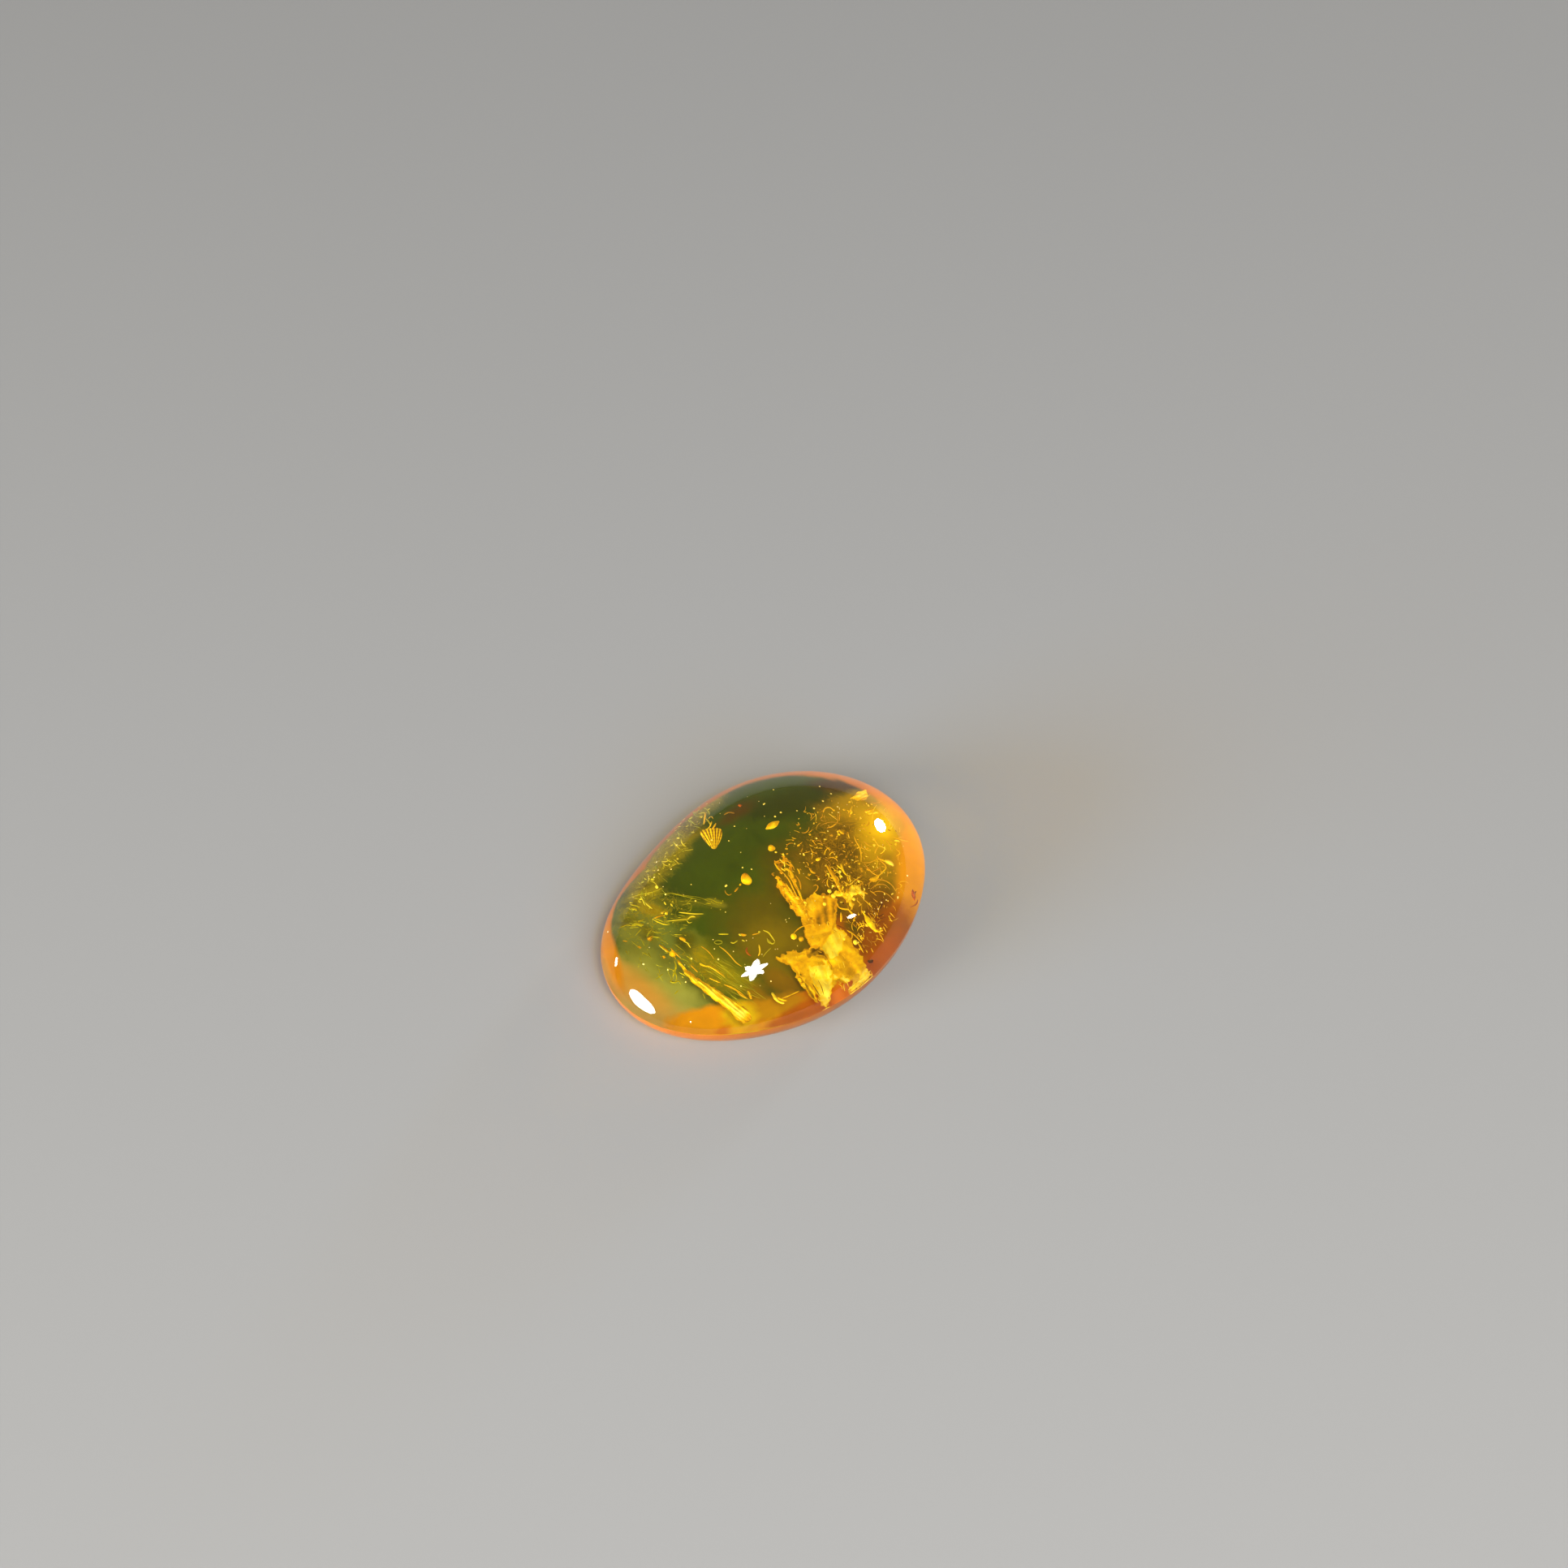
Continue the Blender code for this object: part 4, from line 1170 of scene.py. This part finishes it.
def make_gold_mass():
    flecks = Flecks(37)

    # Painted highlight and shade: in the mass, plate, burst and patch surfaces the tone rises with the height of the
    # crumples, so crests are paler and folds darker.
    def mass_surface(across, down, depth):
        fold = waves(across, down, 22, 9.0)
        grain = streaks(across, down, -62, 24, 3.5, 3.0)
        return 1.1 + 0.10 * fold, MASS_TONE + 0.06 * fold + 0.04 * grain - 0.14 * (1 - smooth(depth, 0.0, 5.0))

    def plate_surface(height, tone, heading, strength):
        def surface(across, down, depth):
            grain = streaks(across, down, heading, 26, 6.0, tone * 90)
            fold = waves(across, down, 15, tone * 31)
            own = tone + strength * grain + 0.06 * fold
            return height + 0.10 * fold + 0.04 * grain, own + (MASS_TONE - own) * (1 - smooth(depth, 0.0, 4.0))

        return surface

    def burst_surface(across, down, depth):
        grain = waves(across, down, 8, 2.0)
        return 2.2 + 0.3 * grain, 0.66 + 0.09 * depth + 0.12 * grain

    def veil_surface(across, down, depth):
        if ridges(across, down, 13, 6.0) < 0.55:
            return None
        return 1.9 + 0.4 * waves(across, down, 11, 1.0), 0.48 + 0.16 * waves(across, down, 7, 8.0)

    def patch_surface(across, down, depth):
        grain = streaks(across, down, 18, 14, 3.0, 4.0)
        return 2.0 + 0.3 * grain, 0.66 + 0.05 * depth + 0.15 * grain

    flecks.sheet(GOLD_MASS, 0.8, mass_surface, ragged=2.4, torn=6.0)
    for outline, *look in GOLD_PLATES:
        flecks.sheet(outline, 0.7, plate_surface(*look), ragged=2.2, torn=5.0)
    flecks.sheet(BURST, 0.6, burst_surface, ragged=2.2, torn=4.0)
    flecks.sheet(TOP_LOOP, 0.8, veil_surface, ragged=3.0)
    flecks.sheet(YELLOW_PATCH, 0.6, patch_surface, ragged=1.4, torn=7.0)
    flecks.sheet(NEAR_GLOW, 0.7, patch_surface, ragged=1.5, torn=4.0)
    for (across, down), size, height, tone in GOLD_BEADS:
        flecks.bead(across, down, size, height, tone)
    for across, down in flecks.scatter(ROPE, 46):
        flecks.flake(across, down, flecks.random.uniform(0.10, 0.34), flecks.random.uniform(1.6, 2.1),
                     flecks.random.uniform(0.35, 1.0))
    for across, down in flecks.scatter(GOLD_MASS, 60):
        heading = flecks.random.gauss(-62, 20)
        length, width = flecks.random.uniform(3, 11), flecks.random.uniform(0.03, 0.07)
        height, tone = flecks.random.uniform(1.6, 2.4), flecks.random.uniform(0.3, 0.95)
        flecks.stroke(across, down, heading, length, width, height, tone, flecks.random.gauss(0, 2))
    flecks.finish("gold_flakes", gold_material("gold_leaf"))


def make_rust_slivers():
    flecks = Flecks(43)
    for pixels, width, height, tone in RUST_STRANDS:
        flecks.strand(pixels, width, height, tone)
    recipe = Recipe("rust_slivers", 0.4)
    material = recipe.color(
        recipe.ramp(recipe.tone(), (0.0, (0.05, 0.02, 0.002)), (0.5, (0.30, 0.08, 0.002)), (1.0, (0.62, 0.16, 0.004)))
    )
    flecks.finish("rust_slivers", material)


# ---------------------------------------------------------------- bubbles, painted white as glints

# Pixels of the bubbles that stand out, and of three painted glints on the dark speck
BUBBLES_AND_SPECK_GLINTS = ((905, 1018), (898, 1036), (942, 990), (955, 1006), (962, 1001), (1010, 969), (1024, 978), (1014, 987),
           (1003, 996), (982, 999), (1032, 994), (1033, 1001), (1020, 1024), (1006, 1033), (953, 973), (926, 1071),
           (915, 1069), (895, 1091), (820, 1102), (857, 1110), (793, 1188), (823, 1195), (845, 1210), (852, 1181),
           (885, 1182), (950, 1209), (913, 1215), (877, 1035), (834, 1041), (811, 1072), (806, 1081), (827, 1071),
           (809, 1062), (941, 991), (1000, 1052), (986, 1052), (990, 1052), (749, 1148), (1086, 1112), (1082, 1120),
           (1092, 1109), (894, 1092), (1118, 1079))
ALL_BUT_RIM = [(885, 985), (1000, 968), (1085, 1010), (1100, 1080), (1060, 1170), (950, 1225), (860, 1220),
               (795, 1165), (800, 1090)]


def make_bubbles():
    flecks = Flecks(51)
    for across, down in BUBBLES_AND_SPECK_GLINTS:
        flecks.bead(across, down, flecks.random.uniform(0.10, 0.15), flecks.random.uniform(2.5, 4.5), 0.9)
    for across, down in flecks.scatter(ALL_BUT_RIM, 50):
        flecks.bead(across, down, flecks.random.uniform(0.05, 0.09), flecks.random.uniform(1.5, 5.0), 0.9)
    flecks.finish("bubbles", bubble_glint_material())


# ---------------------------------------------------------------- stage and light

FLOOR_COLOR = (0.36, 0.354, 0.342)
WORLD_STRENGTH = 0.15


def make_stage():
    mesh = bpy.data.meshes.new("floor")
    half = 1.5
    z = -0.02 * MM
    mesh.from_pydata([(-half, -half, z), (half, -half, z), (half, half, z), (-half, half, z)], [], [(0, 1, 2, 3)])
    floor = bpy.data.objects.new("floor", mesh)
    bpy.context.scene.collection.objects.link(floor)
    recipe = Recipe("floor", 0.9)
    mesh.materials.append(recipe.color(FLOOR_COLOR))


def soft_light(name, azimuth, elevation, size, power, narrow=1.0, roll=0.0):
    """An oval lamp aimed at the stone from its side; azimuth is counted from the camera's."""
    distance = 0.6
    data = bpy.data.lights.new(name, "AREA")
    data.shape = "ELLIPSE"
    data.size = size
    data.size_y = size * narrow
    data.energy = power
    lamp = bpy.data.objects.new(name, data)
    bpy.context.scene.collection.objects.link(lamp)
    turn, rise = math.radians(CAMERA_AZIMUTH + azimuth), math.radians(elevation)
    away = Vector((math.sin(turn) * math.cos(rise), -math.cos(turn) * math.cos(rise), math.sin(rise)))
    lamp.location = AIM + away * distance
    lamp.rotation_mode = "QUATERNION"
    lamp.rotation_quaternion = away.to_track_quat("Z", "Y") @ Quaternion((0.0, 0.0, 1.0), math.radians(roll))


def make_fill():
    """A wide lamp on the camera's side that lights without showing in the polish."""
    data = bpy.data.lights.new("fill", "AREA")
    data.shape = "SQUARE"
    data.size = 0.35
    data.energy = 2.05
    lamp = bpy.data.objects.new("fill", data)
    bpy.context.scene.collection.objects.link(lamp)
    turn, rise = math.radians(CAMERA_AZIMUTH + 20), math.radians(38)
    away = Vector((math.sin(turn) * math.cos(rise), -math.cos(turn) * math.cos(rise), math.sin(rise)))
    lamp.location = AIM + away * 0.45
    lamp.rotation_mode = "QUATERNION"
    lamp.rotation_quaternion = away.to_track_quat("Z", "Y")
    lamp.visible_glossy = False
    lamp.visible_transmission = False


def make_light():
    world = bpy.data.worlds.new("studio")
    bpy.context.scene.world = world
    world.use_nodes = True
    background = world.node_tree.nodes["Background"]
    background.inputs["Color"].default_value = (1.0, 1.0, 1.0, 1.0)
    background.inputs["Strength"].default_value = WORLD_STRENGTH
    make_fill()
    soft_light("key", -62, 12, 0.34, 4.5, narrow=0.5)
    for roll, length in ((10, 0.13), (75, 0.15), (130, 0.12)):
        soft_light("top", 20, 52, length, 0.35, narrow=0.3, roll=roll)
    soft_light("side", 91, 32, 0.058, 0.07, narrow=0.42, roll=-62)
    soft_light("kicker", 142, 9, 0.062, 0.9, narrow=1.65, roll=42)
    soft_light("left_strip", -106, 3, 0.060, 0.13, narrow=0.75)
    soft_light("low_strip", -17, 12, 0.014, 0.03, narrow=2.4)
    scene = bpy.context.scene
    scene.view_settings.view_transform = "Standard"
    scene.cycles.max_bounces = 16
    scene.cycles.transmission_bounces = 16
    scene.cycles.transparent_max_bounces = 16
    scene.cycles.use_denoising = True


make_camera()
stone = build_stone()
stone.data.materials.append(amber_material())
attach(stone, "root")
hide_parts("amber_lower", "amber_upper")
sight = Sight(stone)
make_ground()
paint_inclusions()
make_left_cracks()
make_seam()
make_right_cracks()
make_gold_mass()
make_rust_slivers()
make_bubbles()
make_stage()
make_light()
